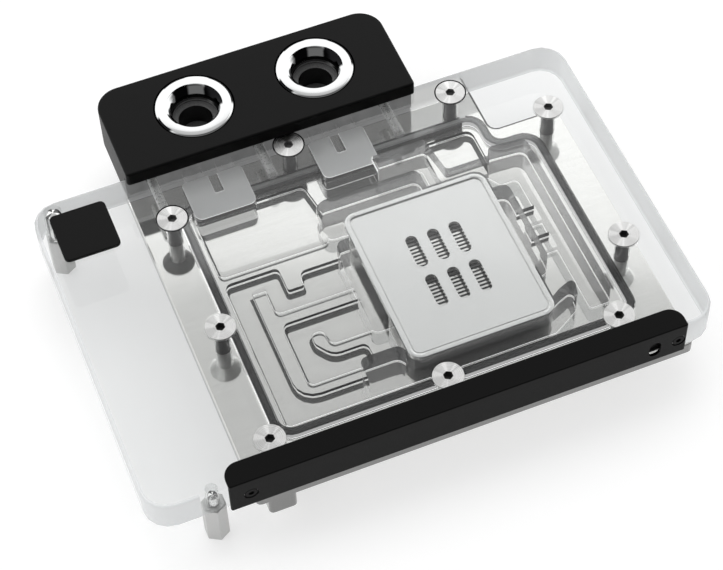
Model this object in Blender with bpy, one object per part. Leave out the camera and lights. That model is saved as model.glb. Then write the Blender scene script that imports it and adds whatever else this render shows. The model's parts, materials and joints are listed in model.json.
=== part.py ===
"""Graphics card water block: a milled clear cover clamped on a finned cold plate.

All sizes below are millimetres in the cover's own frame: X runs along the
cover, Y towards the hose terminal, and Z is up from the cover's top face.
The part's frame is in metres, at the centre of its footprint, on its feet.
"""

import math

import bmesh
import bpy
from mathutils import Vector

MM = 0.001
GAP = 0.2
ARC_STEP = 22.5

# Clear cover
COVER_L = 154.1
COVER_W = 100.5
COVER_T = 10.05
COVER_R = 7.0
COVER_CHAMFER = 0.8


def across(x):
    """Place along X on a cover 154.1 long, spread to the cover's length."""
    return x * COVER_L / 154.1


def along(y):
    """Place along Y on a cover 100.5 wide, spread to the cover's width."""
    return y * COVER_W / 100.5


def rounding(radius):
    """Corner radius of the same plan, spread with the cover's narrower way."""
    return radius * min(COVER_L / 154.1, COVER_W / 100.5)


def spread(corners):
    """Points (x, y) or corners (x, y, radius) of the same plan, spread to the cover's size."""
    return tuple((across(x), along(y), *[rounding(r) for r in rest]) for x, y, *rest in corners)


# Cold plate
PLATE_X0 = across(27.15)
PLATE_X1 = across(147.8)
PLATE_Y1 = COVER_W + 5.5
PLATE_STEP_X = across(128.1)
PLATE_STEP_Y = along(84.95)
PLATE_T = 3.9
PLATE_TOP = -COVER_T - GAP
PLATE_BOTTOM = PLATE_TOP - PLATE_T

# Fins on the cold plate
FIN_X0 = across(84.3)
FIN_X1 = across(109.9)
FIN_Y0 = along(29.6)
FIN_Y1 = along(58.2)
FIN_T = 0.55
FIN_COUNT = 25
FIN_TOP = -6.2

# Contact faces below the cold plate: two corners of each, then its depth below the plate
CHIP_DEPTH = 8.25
PAD_DEPTH = 7.35
PADS = (
    (75.0, 21.5, 119.0, 65.5, CHIP_DEPTH),
    (30.5, 0.6, 38.0, 80.0, PAD_DEPTH),
    (53.0, 24.0, 63.0, 66.0, PAD_DEPTH),
    (76.0, 77.0, 118.0, 87.0, PAD_DEPTH),
    (131.0, 12.0, 140.0, 70.0, PAD_DEPTH),
)

# Seal cord and its groove
SEAL_CORD = 1.9
SEAL_GROOVE = 2.3
SEAL_ROOM = 0.1
GROOVE_TOP = 1.75 - COVER_T
SEAL_PATH = spread((
    (38.7, 13.5, 4.5),
    (137.8, 13.5, 4.5),
    (137.8, 78.3, 4.8),
    (125.6, 78.3, 4.2),
    (125.6, 90.1, 4.5),
    (38.7, 90.1, 4.5),
))

# Cover screws: centres, then sizes
SCREWS = spread((
    (71.95, 94.3), (119.6, 94.25), (142.25, 79.0),
    (34.65, 82.8), (34.7, 45.2), (34.75, 9.15),
    (82.5, 9.15), (129.95, 9.2), (142.27, 31.9),
))
HEAD_R = 4.1
HEAD_TOP = -0.05
HEAD_EDGE = 0.25
SHANK_R = 1.85
HEAD_LOW = HEAD_TOP - HEAD_EDGE - (HEAD_R - SHANK_R)
SINK_ROOM = 0.3
SHANK_END = PLATE_TOP - 2.65
SOCKET_AF = 2.5
SOCKET_DEPTH = 1.5

# Milled channels in the cover's underside
SHALLOW_TOP = 1.9 - COVER_T
DEEP_TOP = 6.65 - COVER_T
CHAMBER_TOP = 5.05 - COVER_T
CHAMBER_FLOOR = 2.45 - COVER_T
CHAMBER_Y0 = along(82.9)
CHAMBER_Y1 = COVER_W - 4.1
TONGUE_Y = along(90.0)
CHAMBER_OPEN_Y = along(87.3)
CHAMBER_LEFT = [across(x) for x in (41.4, 58.6, 49.0, 51.6)]
CHAMBER_RIGHT = [across(x) for x in (78.0, 94.2, 84.4, 87.1)]

# Silver jet plate on its clear insert, in a square well of the cover
JET_X0 = across(76.75)
JET_X1 = across(117.65)
JET_Y0 = along(18.65)
JET_Y1 = along(68.45)
JET_R = 3.6
JET_TOP = DEEP_TOP - 0.3
JET_T = 1.3
JET_RIM = 1.35
JET_STEP = 0.45
JET_SLOT_W = 3.2
JET_SLOT_L = 10.5
JET_SLOT_X = [across(x) for x in (91.2, 97.4, 103.6)]
JET_SLOT_Y = [along(y) for y in (36.9, 50.4)]

# Hose terminal, hung over the cover's rear edge
TERM_X0 = PLATE_X0
TERM_X1 = across(110.5)
TERM_Y0 = COVER_W - 3.0
TERM_Y1 = TERM_Y0 + 30.8
TERM_TOP = 4.32
TERM_R = 7.0
PORTS = (across(51.97), across(87.18))
PORT_Y = TERM_Y0 + 16.05
RING_R = 10.9
RING_WALL = 4.2
RING_BORE = RING_R - RING_WALL
RING_T = 3.3
RING_PROUD = 0.28
PORT_BORE = RING_BORE - 0.4
PORT_NECK = RING_BORE - 2.0
PASSAGE_EDGE = 1.5
PASSAGE_Z0 = CHAMBER_FLOOR + 0.2
PASSAGE_Z1 = CHAMBER_TOP - 0.2
LOOP_EDGE = 1.0
LOOP_CORD = 1.3
STUD_X = (across(34.3), across(65.2), across(102.2))
STUD_R = 1.3
STUD_Z = -3.9
STUD_Y0 = COVER_W - 11.5
STUD_Y1 = COVER_W + 9.5

# Side rail, and the light strip behind it
RAIL_X0 = across(20.4)
RAIL_X1 = across(144.5)
RAIL_Y0 = -1.0
RAIL_Y1 = 5.6
RAIL_T = 0.8
RAIL_TOP = 1.05
RAIL_SCREWS = (across(25.9), across(142.2))
RAIL_SCREW_Z = -5.0
CABLE_X0 = across(133.4)
CABLE_X1 = across(137.6)
STRIP_X0 = RAIL_X0 + 10.2
STRIP_X1 = CABLE_X0 - 1.2
STRIP_Y0 = 0.3
STRIP_T = 1.2
STRIP_Z0 = -7.9
STRIP_H = 5.2
STRIP_ROOM = 0.3
SOCKET_WALL = 0.7

# Badge on the cover's wing
BADGE = spread(((4.2, 79.3), (19.6, 95.0)))
BADGE_R = 1.5
BADGE_T = 0.9

# Hexagonal standoffs: on the cover's wing, then on the cold plate
POST_AF = 5.75
STUD_CORE_R = 1.45
STUD_TIP = -4.3
CORNER_PIN_R = 2.3
WING_POSTS = spread(((17.0, 3.4), (5.9, 97.0)))
PLATE_POSTS = spread(((69.0, 15.0), (125.0, 15.0), (69.0, 71.5), (125.0, 71.5)))

# Part's frame: the middle of the footprint, at the standoffs' feet
FOOT_Z = -24.5
FRAME_X = COVER_L / 2.0
FRAME_Y = (RAIL_Y0 + TERM_Y1) / 2.0

ORIGIN = Vector((-FRAME_X, -FRAME_Y, -FOOT_Z)) * MM


def clear_scene():
    for item in list(bpy.data.objects):
        bpy.data.objects.remove(item, do_unlink=True)


def make_material(name, colour, roughness, metallic):
    material = bpy.data.materials.new(name)
    material.use_nodes = True
    shader = material.node_tree.nodes["Principled BSDF"]
    shader.inputs["Base Color"].default_value = (*colour, 1.0)
    shader.inputs["Roughness"].default_value = roughness
    shader.inputs["Metallic"].default_value = metallic
    return material


def finish(bm, name):
    """Turn a millimetre shape into a metre mesh with its faces pointing out."""
    bmesh.ops.recalc_face_normals(bm, faces=bm.faces)
    bmesh.ops.scale(bm, vec=(MM, MM, MM), verts=bm.verts)
    mesh = bpy.data.meshes.new(name)
    bm.to_mesh(mesh)
    bm.free()
    return mesh


def place(name, mesh, material=None, at=(0.0, 0.0, 0.0), turn=(0.0, 0.0, 0.0)):
    item = bpy.data.objects.new(name, mesh)
    item.location = ORIGIN + Vector(at) * MM
    item.rotation_euler = turn
    if material is not None and not mesh.materials:
        mesh.materials.append(material)
    bpy.context.scene.collection.objects.link(item)
    return item


def smooth(mesh, angle=40.0):
    mesh.shade_smooth()
    mesh.set_sharp_from_angle(angle=math.radians(angle))


def cutter(name, solids):
    """A hidden cutting tool made of separate closed solids."""
    bm = bmesh.new()
    for solid in solids:
        mesh = bpy.data.meshes.new("solid")
        bmesh.ops.recalc_face_normals(solid, faces=solid.faces)
        solid.to_mesh(mesh)
        solid.free()
        bm.from_mesh(mesh)
        bpy.data.meshes.remove(mesh)
    item = place(name, finish(bm, name))
    item.hide_render = True
    item.display_type = "WIRE"
    return item


def combine(target, tool, operation="DIFFERENCE"):
    step = target.modifiers.new(tool.name, "BOOLEAN")
    step.operation = operation
    step.solver = "EXACT"
    step.object = tool


def rounded(corners, step=ARC_STEP):
    """Outline through corners (x, y, radius), each corner turned to an arc."""
    points = []
    count = len(corners)
    for index, (x, y, radius) in enumerate(corners):
        here = Vector((x, y))
        if radius <= 0.0:
            points.append(here)
            continue
        before = (Vector(corners[index - 1][:2]) - here).normalized()
        after = (Vector(corners[(index + 1) % count][:2]) - here).normalized()
        half = before.angle(after) / 2.0
        centre = here + (before + after).normalized() * (radius / math.sin(half))
        start = here + before * (radius / math.tan(half)) - centre
        sweep = math.pi - 2.0 * half
        side = -1.0 if before.cross(after) > 0.0 else 1.0
        parts = max(1, math.ceil(math.degrees(sweep) / step))
        for part in range(parts + 1):
            angle = side * sweep * part / parts
            cos, sin = math.cos(angle), math.sin(angle)
            offset = Vector((start.x * cos - start.y * sin, start.x * sin + start.y * cos))
            points.append(centre + offset)
    return [(point.x, point.y) for point in points]


def rectangle(x0, x1, y0, y1, radius=0.0):
    corners = ((x0, y0, radius), (x1, y0, radius), (x1, y1, radius), (x0, y1, radius))
    return rounded(corners)


def circle(radius, count, x=0.0, y=0.0):
    angles = [2.0 * math.pi * index / count for index in range(count)]
    return [(x + radius * math.cos(a), y + radius * math.sin(a)) for a in angles]


def hexagon(across_flats, count):
    """Points of a hexagon at even angles, with one point on every corner."""
    points = []
    for index in range(count):
        angle = 2.0 * math.pi * index / count
        local = (angle + math.pi / 6.0) % (math.pi / 3.0) - math.pi / 6.0
        reach = across_flats / 2.0 / math.cos(local)
        points.append((reach * math.cos(angle), reach * math.sin(angle)))
    return points


def prism(outline, z0, z1, top=0.0, bottom=0.0, segments=1):
    """Upright solid on an outline, its upper and lower edges bevelled."""
    bm = bmesh.new()
    base = bm.faces.new([bm.verts.new((x, y, z0)) for x, y in outline])
    grown = bmesh.ops.extrude_face_region(bm, geom=[base])
    raised = [item for item in grown["geom"] if isinstance(item, bmesh.types.BMVert)]
    bmesh.ops.translate(bm, vec=(0.0, 0.0, z1 - z0), verts=raised)
    for level, width in ((z1, top), (z0, bottom)):
        if width <= 0.0:
            continue
        rim = [edge for edge in bm.edges if all(abs(v.co.z - level) < 1e-5 for v in edge.verts)]
        bmesh.ops.bevel(bm, geom=rim, offset=width, segments=segments, profile=0.5,
                        affect="EDGES", clamp_overlap=True)
    return bm


def box(x0, x1, y0, y1, z0, z1):
    return prism(rectangle(x0, x1, y0, y1), z0, z1)


def loft(rings, closed=False):
    """Solid through rings (outline, z) with the same number of points."""
    bm = bmesh.new()
    rows = [[bm.verts.new((x, y, z)) for x, y in outline] for outline, z in rings]
    if closed:
        rows.append(rows[0])
    count = len(rows[0])
    for lower, upper in zip(rows, rows[1:]):
        for index in range(count):
            after = (index + 1) % count
            bm.faces.new((lower[index], lower[after], upper[after], upper[index]))
    if not closed:
        bm.faces.new(rows[0])
        bm.faces.new(rows[-1])
    return bm


def sweep_loop(path, width, z0, z1, corner=0.0):
    """Closed band of even width that follows a closed path."""
    bm = bmesh.new()
    half = width / 2.0
    section = ((-half, z0 + corner), (-half, z1 - corner), (-half + corner, z1),
               (half - corner, z1), (half, z1 - corner), (half, z0 + corner),
               (half - corner, z0), (-half + corner, z0))
    if corner <= 0.0:
        section = ((-half, z0), (-half, z1), (half, z1), (half, z0))
    rows = []
    count = len(path)
    for index, point in enumerate(path):
        here = Vector(point)
        back = (here - Vector(path[index - 1])).normalized()
        ahead = (Vector(path[(index + 1) % count]) - here).normalized()
        along = (back + ahead).normalized()
        stretch = 1.0 / max(0.5, along.dot(ahead))
        side = Vector((along.y, -along.x)) * stretch
        rows.append([bm.verts.new((here.x + side.x * s, here.y + side.y * s, z)) for s, z in section])
    rows.append(rows[0])
    size = len(section)
    for first, second in zip(rows, rows[1:]):
        for index in range(size):
            after = (index + 1) % size
            bm.faces.new((first[index], first[after], second[after], second[index]))
    return bm


def along_y(outline, y0, y1, x, z):
    """Solid on an outline in the X-Z plane, run along Y."""
    bm = prism(outline, y0, y1)
    for vert in bm.verts:
        vert.co = Vector((x + vert.co.x, vert.co.z, z + vert.co.y))
    return bm


def shallow_channels():
    """Four flow fields between lands, one depth, fine-milled."""
    outer = rounded(spread((
        (41.3, 16.0, 1.5), (67.0, 16.0, 0.0), (67.0, 21.8, 0.0), (47.3, 21.8, 5.5),
        (47.3, 57.6, 0.0), (51.0, 57.6, 0.0), (51.0, 49.5, 1.8), (74.5, 49.5, 0.0),
        (74.5, 59.2, 0.0), (61.2, 59.2, 1.8), (60.9, 54.7, 0.6), (56.5, 54.7, 0.6),
        (56.5, 62.6, 1.5), (41.3, 62.6, 1.8),
    )))
    inner = rounded(spread((
        (51.0, 25.5, 1.8), (67.0, 25.5, 0.0), (69.6, 27.5, 0.0), (69.4, 31.6, 1.8),
        (60.2, 31.6, 4.0), (57.0, 36.2, 2.0), (57.0, 40.2, 1.5), (60.3, 40.2, 1.5),
        (60.9, 35.2, 2.0), (74.5, 35.2, 0.0), (74.5, 45.2, 0.0), (51.0, 45.2, 1.6),
    )))
    west = rounded(spread((
        (41.3, 65.8, 1.8), (72.2, 65.8, 1.5), (74.5, 74.0, 1.5), (72.6, 86.2, 1.8),
        (41.3, 86.2, 1.8),
    )))
    east = rounded(spread((
        (107.8, 71.0, 0.0), (122.4, 71.0, 0.0), (122.4, 86.2, 2.5), (107.8, 86.2, 1.5),
    )))
    tops = (outer, inner, west, east)
    return [prism(top, -COVER_T - 1.0, SHALLOW_TOP, top=0.8, segments=2) for top in tops]


def deep_channels():
    """Full-depth wells round the jet plate, as groups that do not touch."""
    low = -COVER_T - 1.0
    well = prism(rectangle(JET_X0 - 0.3, JET_X1 + 0.3, JET_Y0 - 0.3, JET_Y1 + 0.3, JET_R),
                 low, DEEP_TOP)
    left_slot = rectangle(across(72.3), across(80.0), along(34.0), along(61.6),
                          rounding(2.0))
    front = rounded(spread((
        (64.3, 16.0, 1.0), (116.0, 16.0, 1.0), (124.0, 20.6, 2.5), (125.6, 26.6, 1.2),
        (120.4, 24.6, 2.0), (117.0, 22.5, 0.0), (80.0, 22.5, 0.0), (78.0, 19.2, 0.0),
        (75.4, 24.4, 2.5), (64.3, 24.4, 2.0),
    )))
    rear = rounded(spread((
        (71.6, 66.4, 3.0), (80.0, 66.4, 0.0), (100.0, 66.4, 0.0), (102.2, 68.0, 0.0),
        (102.2, 75.9, 2.2), (71.6, 75.9, 3.4),
    )))
    right_slot = rounded(spread((
        (115.0, 34.0, 0.0), (122.3, 34.0, 2.2), (122.3, 61.6, 2.2), (115.0, 61.6, 0.0),
    )))
    right = rounded(spread((
        (127.4, 19.6, 1.0), (133.3, 19.6, 1.0), (133.3, 74.4, 2.2), (122.4, 75.2, 1.5),
        (121.8, 72.4, 0.0), (109.2, 72.4, 1.2), (107.6, 84.4, 1.0), (92.0, 84.4, 0.5),
        (92.0, 79.0, 0.5), (104.6, 79.0, 1.5), (104.6, 69.6, 1.0), (120.2, 69.6, 1.5),
        (122.5, 66.0, 1.5), (127.4, 66.0, 1.5),
    )))
    first = [prism(left_slot, low, DEEP_TOP - 0.04, top=1.2, segments=2),
             prism(rear, low, DEEP_TOP - 0.04, top=1.2, segments=2),
             prism(front, low, DEEP_TOP - 0.04)]
    second = [prism(right_slot, low, DEEP_TOP - 0.08),
              prism(right, low, DEEP_TOP - 0.08, top=1.2, segments=2)]
    links = [prism(rectangle(across(121.0), across(128.8), along(y), along(y + 5.2),
                             rounding(1.0)), low, SHALLOW_TOP - 0.05) for y in (40.1, 49.8)]
    return [well], first, second, links


def chamber_ways(chamber):
    """Two ways back from a port chamber, one on either side of its tongue."""
    x0, x1, tongue0, tongue1 = chamber
    return ((x0 + PASSAGE_EDGE, tongue0 - 0.8), (tongue1 + 0.8, x1 - PASSAGE_EDGE))


def flat_tube(x0, x1, y0, y1):
    """Low opening between the chambers and the terminal, at the passages' height."""
    return along_y(rectangle(x0, x1, PASSAGE_Z0, PASSAGE_Z1, 0.6), y0, y1, 0.0, 0.0)


def chamber_tools():
    """Port chambers: a low mouth, an upper room round a tongue, and two ways back."""
    mouths, rooms, ways = [], [], []
    for chamber in (CHAMBER_LEFT, CHAMBER_RIGHT):
        x0, x1, tongue0, tongue1 = chamber
        mouths.append(prism(rectangle(x0, x1, CHAMBER_Y0, CHAMBER_OPEN_Y, rounding(1.2)),
                            -COVER_T - 1.0, CHAMBER_FLOOR + 0.5))
        room = rounded((
            (x0 + 0.02, CHAMBER_Y0 + 0.02, 2.0), (x1 - 0.02, CHAMBER_Y0 + 0.02, 2.0),
            (x1 - 0.02, CHAMBER_Y1, 1.0), (tongue1, CHAMBER_Y1, 0.0), (tongue1, TONGUE_Y, 0.6),
            (tongue0, TONGUE_Y, 0.6), (tongue0, CHAMBER_Y1, 0.0), (x0 + 0.02, CHAMBER_Y1, 1.0),
        ))
        rooms.append(prism(room, CHAMBER_FLOOR, CHAMBER_TOP))
        ways += [flat_tube(a, b, CHAMBER_Y1 - 2.0, COVER_W + 1.0) for a, b in chamber_ways(chamber)]
    return mouths, rooms, ways


def build_cover(material):
    outline = rectangle(0.0, COVER_L, 0.0, COVER_W, COVER_R)
    bm = prism(outline, -COVER_T, 0.0, top=COVER_CHAMFER, bottom=COVER_CHAMFER)
    cover = place("acrylic_cover", finish(bm, "acrylic_cover"), material)
    path = rounded(SEAL_PATH, 18.0)
    combine(cover, cutter("cut_groove", [
        sweep_loop(path, SEAL_GROOVE, -COVER_T - 1.0, GROOVE_TOP)]))
    combine(cover, cutter("cut_shallow", shallow_channels()))
    for index, group in enumerate(deep_channels()):
        combine(cover, cutter(f"cut_deep_{index + 1}", group))
    for name, group in zip(("mouths", "rooms", "ways"), chamber_tools()):
        combine(cover, cutter(f"cut_{name}", group))
    combine(cover, cutter("cut_heads", [
        loft([(circle(SHANK_R + SINK_ROOM, 32, x, y), HEAD_LOW),
              (circle(HEAD_R + SINK_ROOM, 32, x, y), HEAD_TOP - HEAD_EDGE),
              (circle(HEAD_R + SINK_ROOM, 32, x, y), 1.0)]) for x, y in SCREWS]))
    combine(cover, cutter("cut_shanks", [
        prism(circle(SHANK_R + SINK_ROOM, 16, x, y), -COVER_T - 1.0, HEAD_LOW + 0.1)
        for x, y in SCREWS]))
    (post_x, post_y), (pin_x, pin_y) = WING_POSTS
    combine(cover, cutter("cut_posts", [
        prism(circle(STUD_CORE_R + 0.25, 12, post_x, post_y), -COVER_T - 1.0, STUD_TIP + 0.3),
        prism(circle(CORNER_PIN_R + 0.25, 20, pin_x, pin_y), -COVER_T - 1.0, 1.0)]))
    combine(cover, cutter("cut_term_studs", [
        along_y(circle(STUD_R + 0.2, 12), STUD_Y0 - 0.4, COVER_W + 1.0, x, STUD_Z)
        for x in STUD_X]))
    combine(cover, cutter("cut_strip", [
        box(STRIP_X0 - STRIP_ROOM, CABLE_X1 + SOCKET_WALL + STRIP_ROOM, -1.0,
            STRIP_Y0 + STRIP_T + STRIP_ROOM, STRIP_Z0 - STRIP_ROOM,
            STRIP_Z0 + STRIP_H + STRIP_ROOM)]))
    combine(cover, cutter("cut_rail_screws", [
        along_y(circle(1.2, 12), -1.0, 6.2, x, RAIL_SCREW_Z) for x in RAIL_SCREWS]))
    return cover


def fin_comb():
    """Comb of upright fins that run along X, standing in the plate's face."""
    pitch = (FIN_Y1 - FIN_Y0 - FIN_T) / (FIN_COUNT - 1)
    foot = PLATE_TOP - 0.9
    root = PLATE_TOP + 0.3
    profile = [(FIN_Y0, foot)]
    for index in range(FIN_COUNT):
        start = FIN_Y0 + pitch * index
        if index:
            profile.append((start, root))
        profile.append((start, FIN_TOP))
        profile.append((start + FIN_T, FIN_TOP))
        if index < FIN_COUNT - 1:
            profile.append((start + FIN_T, root))
    profile.append((FIN_Y1, foot))
    bm = prism(profile, FIN_X0, FIN_X1)
    for vert in bm.verts:
        vert.co = Vector((vert.co.z, vert.co.x, vert.co.y))
    return bm


def build_cold_plate(material):
    outline = rounded((
        (PLATE_X0, 0.0, 1.5), (PLATE_X1, 0.0, 1.5), (PLATE_X1, PLATE_STEP_Y, 1.5),
        (PLATE_STEP_X, PLATE_STEP_Y, 2.5), (PLATE_STEP_X, PLATE_Y1, 1.5),
        (PLATE_X0, PLATE_Y1, 1.5),
    ), 30.0)
    bm = prism(outline, PLATE_BOTTOM, PLATE_TOP, top=0.25, bottom=0.25)
    plate = place("cold_plate", finish(bm, "cold_plate"), material)
    combine(plate, cutter("add_fins", [fin_comb()]), "UNION")
    feet = [prism(rectangle(across(x0), across(x1), along(y0), along(y1), 1.2),
                  PLATE_BOTTOM - depth, PLATE_BOTTOM + 1.0, bottom=0.5)
            for x0, y0, x1, y1, depth in PADS]
    combine(plate, cutter("add_pads", feet), "UNION")
    combine(plate, cutter("cut_taps", [
        prism(circle(SHANK_R + 0.3, 12, x, y), SHANK_END - 0.3, PLATE_TOP + 1.0)
        for x, y in SCREWS]))
    combine(plate, cutter("cut_post_taps", [
        prism(circle(STUD_CORE_R + 0.25, 12, x, y), PLATE_BOTTOM - 1.0, PLATE_BOTTOM + 2.6)
        for x, y in PLATE_POSTS]))
    return plate


def build_seal(material):
    path = rounded(SEAL_PATH, 18.0)
    bm = sweep_loop(path, SEAL_CORD, PLATE_TOP + SEAL_ROOM, GROOVE_TOP - SEAL_ROOM, 0.5)
    mesh = finish(bm, "main_seal")
    smooth(mesh, 60.0)
    place("main_seal", mesh, material)


def build_jet(clear, silver):
    block_top = JET_TOP - JET_T - GAP
    bm = prism(rectangle(JET_X0 + 0.05, JET_X1 - 0.05, JET_Y0 + 0.05, JET_Y1 - 0.05, JET_R),
               -COVER_T, block_top)
    block = place("jet_insert", finish(bm, "jet_insert"), clear)
    combine(block, cutter("cut_flow", [
        box(JET_X0 - 2.0, JET_X1 + 2.0, FIN_Y0 - 0.5, FIN_Y1 + 0.5, -COVER_T - 1.0, FIN_TOP + 0.3)]))
    combine(block, cutter("cut_window", [
        box(JET_SLOT_X[0] - 2.4, JET_SLOT_X[-1] + 2.4, JET_SLOT_Y[0] - 6.4, JET_SLOT_Y[-1] + 6.4,
            FIN_TOP, block_top + 1.0)]))
    bm = prism(rectangle(JET_X0, JET_X1, JET_Y0, JET_Y1, JET_R), JET_TOP - JET_T, JET_TOP,
               top=0.3, segments=2)
    mesh = finish(bm, "jet_plate")
    jet = place("jet_plate", mesh, silver)
    field = rectangle(JET_X0 + JET_RIM, JET_X1 - JET_RIM, JET_Y0 + JET_RIM, JET_Y1 - JET_RIM,
                      JET_R - JET_RIM)
    combine(jet, cutter("cut_field", [prism(field, JET_TOP - JET_STEP, JET_TOP + 1.0)]))
    slots = []
    for x in JET_SLOT_X:
        for y in JET_SLOT_Y:
            half = JET_SLOT_W / 2.0
            outline = rectangle(x - half, x + half, y - JET_SLOT_L / 2, y + JET_SLOT_L / 2,
                                half - 0.01)
            slots.append(prism(outline, JET_TOP - JET_T - 1.0, JET_TOP + 1.0))
    combine(jet, cutter("cut_slots", slots))


def build_terminal(black, chrome, rubber, steel):
    outline = rounded((
        (TERM_X0, TERM_Y0, 1.0), (TERM_X1, TERM_Y0, 1.0),
        (TERM_X1, TERM_Y1, TERM_R), (TERM_X0, TERM_Y1, TERM_R),
    ), 15.0)
    bm = prism(outline, -COVER_T + 0.05, TERM_TOP, top=0.6, bottom=0.3, segments=2)
    body = place("terminal_body", finish(bm, "terminal_body"), black)
    combine(body, cutter("cut_lip", [
        box(TERM_X0 - 2.0, TERM_X1 + 2.0, TERM_Y0 - 2.0, COVER_W + 0.25,
            -COVER_T - 1.0, GAP)]))
    ring_low = TERM_TOP + RING_PROUD - RING_T
    combine(body, cutter("cut_ring_seats", [
        prism(circle(RING_R + 0.25, 48, x, PORT_Y), ring_low - GAP, TERM_TOP + 1.0)
        for x in PORTS]))
    combine(body, cutter("cut_bores", [
        prism(circle(PORT_BORE, 32, x, PORT_Y), -3.2, ring_low + 0.3) for x in PORTS]))
    combine(body, cutter("cut_necks", [
        prism(circle(PORT_NECK, 24, x, PORT_Y), PASSAGE_Z0 - 0.3, -3.0) for x in PORTS]))
    combine(body, cutter("cut_passages", [
        flat_tube(chamber[0] + PASSAGE_EDGE, chamber[1] - PASSAGE_EDGE, COVER_W - 1.0, PORT_Y)
        for chamber in (CHAMBER_LEFT, CHAMBER_RIGHT)]))
    loops = [rectangle(chamber[0] - LOOP_EDGE, chamber[1] + LOOP_EDGE,
                       PASSAGE_Z0 - LOOP_EDGE, PASSAGE_Z1 + LOOP_EDGE, 1.6)
             for chamber in (CHAMBER_LEFT, CHAMBER_RIGHT)]
    combine(body, cutter("cut_seal_grooves", [
        turned_loop(loop, LOOP_CORD + 0.4, COVER_W - 1.0, COVER_W + 1.4) for loop in loops]))
    combine(body, cutter("cut_stud_taps", [
        along_y(circle(STUD_R + 0.2, 12), COVER_W - 1.0, STUD_Y1 + 0.4, x, STUD_Z)
        for x in STUD_X]))
    for name, x, loop in zip(("left", "right"), PORTS, loops):
        bm = turned_loop(loop, LOOP_CORD, COVER_W + GAP, COVER_W + 1.2)
        place(f"terminal_seal_{name}", finish(bm, "terminal_seal"), rubber)
        top = TERM_TOP + RING_PROUD
        rings = [(circle(RING_BORE, 48), ring_low), (circle(RING_R, 48), ring_low),
                 (circle(RING_R, 48), top - 0.7), (circle(RING_R - 0.7, 48), top),
                 (circle(RING_BORE + 1.0, 48), top), (circle(RING_BORE, 48), top - 1.0)]
        mesh = finish(loft(rings, closed=True), "port_ring")
        smooth(mesh, 30.0)
        place(f"port_ring_{name}", mesh, chrome, at=(x, PORT_Y, 0.0))
    stud = loft([(circle(STUD_R - 0.3, 16), 0.0), (circle(STUD_R, 16), 0.3),
                 (circle(STUD_R, 16), STUD_Y1 - STUD_Y0)])
    mesh = finish(stud, "terminal_stud")
    smooth(mesh)
    for index, x in enumerate(STUD_X):
        place(f"terminal_stud_{index + 1}", mesh, steel, at=(x, STUD_Y0, STUD_Z),
              turn=(-math.pi / 2.0, 0.0, 0.0))


def turned_loop(path, width, y0, y1):
    """Closed band in the X-Z plane, from y0 to y1."""
    bm = sweep_loop(path, width, y0, y1)
    for vert in bm.verts:
        vert.co = Vector((vert.co.x, vert.co.z, vert.co.y))
    return bm


def build_screws(steel, black):
    rings = [(circle(SHANK_R - 0.4, 24), SHANK_END), (circle(SHANK_R, 24), SHANK_END + 0.4),
             (circle(SHANK_R, 24), HEAD_LOW), (circle(HEAD_R, 24), HEAD_TOP - HEAD_EDGE),
             (circle(HEAD_R, 24), HEAD_TOP),
             (hexagon(SOCKET_AF, 24), HEAD_TOP), (hexagon(SOCKET_AF, 24), -SOCKET_DEPTH)]
    mesh = finish(loft(rings), "cover_screw")
    smooth(mesh)
    for index, (x, y) in enumerate(SCREWS):
        place(f"cover_screw_{index + 1}", mesh, steel, at=(x, y, 0.0))
    head = [(circle(0.95, 16), 0.0), (circle(0.95, 16), 6.1), (circle(1.7, 16), 6.1),
            (circle(1.7, 16), 6.7), (hexagon(1.4, 12 + 4), 6.7), (hexagon(1.4, 12 + 4), 6.35)]
    mesh = finish(loft(head), "rail_screw")
    smooth(mesh)
    for index, x in enumerate(RAIL_SCREWS):
        place(f"rail_screw_{index + 1}", mesh, black, at=(x, 5.8, RAIL_SCREW_Z),
              turn=(math.pi / 2.0, 0.0, 0.0))


def build_rail(black, board, plastic):
    outline = rounded((
        (RAIL_X0, RAIL_Y0, 0.5), (RAIL_X1, RAIL_Y0, 0.5),
        (RAIL_X1, RAIL_Y1, 4.0), (RAIL_X0, RAIL_Y1, 4.0),
    ), 15.0)
    bm = prism(outline, -COVER_T + 0.05, RAIL_TOP, top=0.25, segments=2)
    rail = place("side_rail", finish(bm, "side_rail"), black)
    inner = RAIL_Y0 + RAIL_T
    combine(rail, cutter("cut_angle", [
        box(RAIL_X0 - 2.0, RAIL_X1 + 2.0, inner, RAIL_Y1 + 2.0, -COVER_T - 1.0,
            RAIL_TOP - RAIL_T)]))
    combine(rail, cutter("cut_cable_slot", [
        along_y(rectangle(CABLE_X0, CABLE_X1, STRIP_Z0 - 0.1, STRIP_Z0 + STRIP_H + 0.5,
                          rounding(1.9)), RAIL_Y0 - 1.0, inner + 1.0, 0.0, 0.0)]))
    combine(rail, cutter("cut_heads_rail", [
        along_y(circle(1.95, 16), RAIL_Y0 - 1.0, inner + 1.0, x, RAIL_SCREW_Z)
        for x in RAIL_SCREWS]))
    top = STRIP_Z0 + STRIP_H
    back = STRIP_Y0 + STRIP_T
    strip = box(STRIP_X0, STRIP_X1, STRIP_Y0, back, STRIP_Z0, top)
    place("light_strip", finish(strip, "light_strip"), board)
    end = CABLE_X1 + SOCKET_WALL
    start = CABLE_X0 - SOCKET_WALL
    shell = box(start, end, STRIP_Y0, back, STRIP_Z0, top)
    socket = place("light_socket", finish(shell, "light_socket"), plastic)
    combine(socket, cutter("cut_pins", [
        box(start + SOCKET_WALL, end - SOCKET_WALL, STRIP_Y0 - 1.0, STRIP_Y0 + STRIP_T / 2.0,
            STRIP_Z0 + SOCKET_WALL, top - SOCKET_WALL)]))


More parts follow.
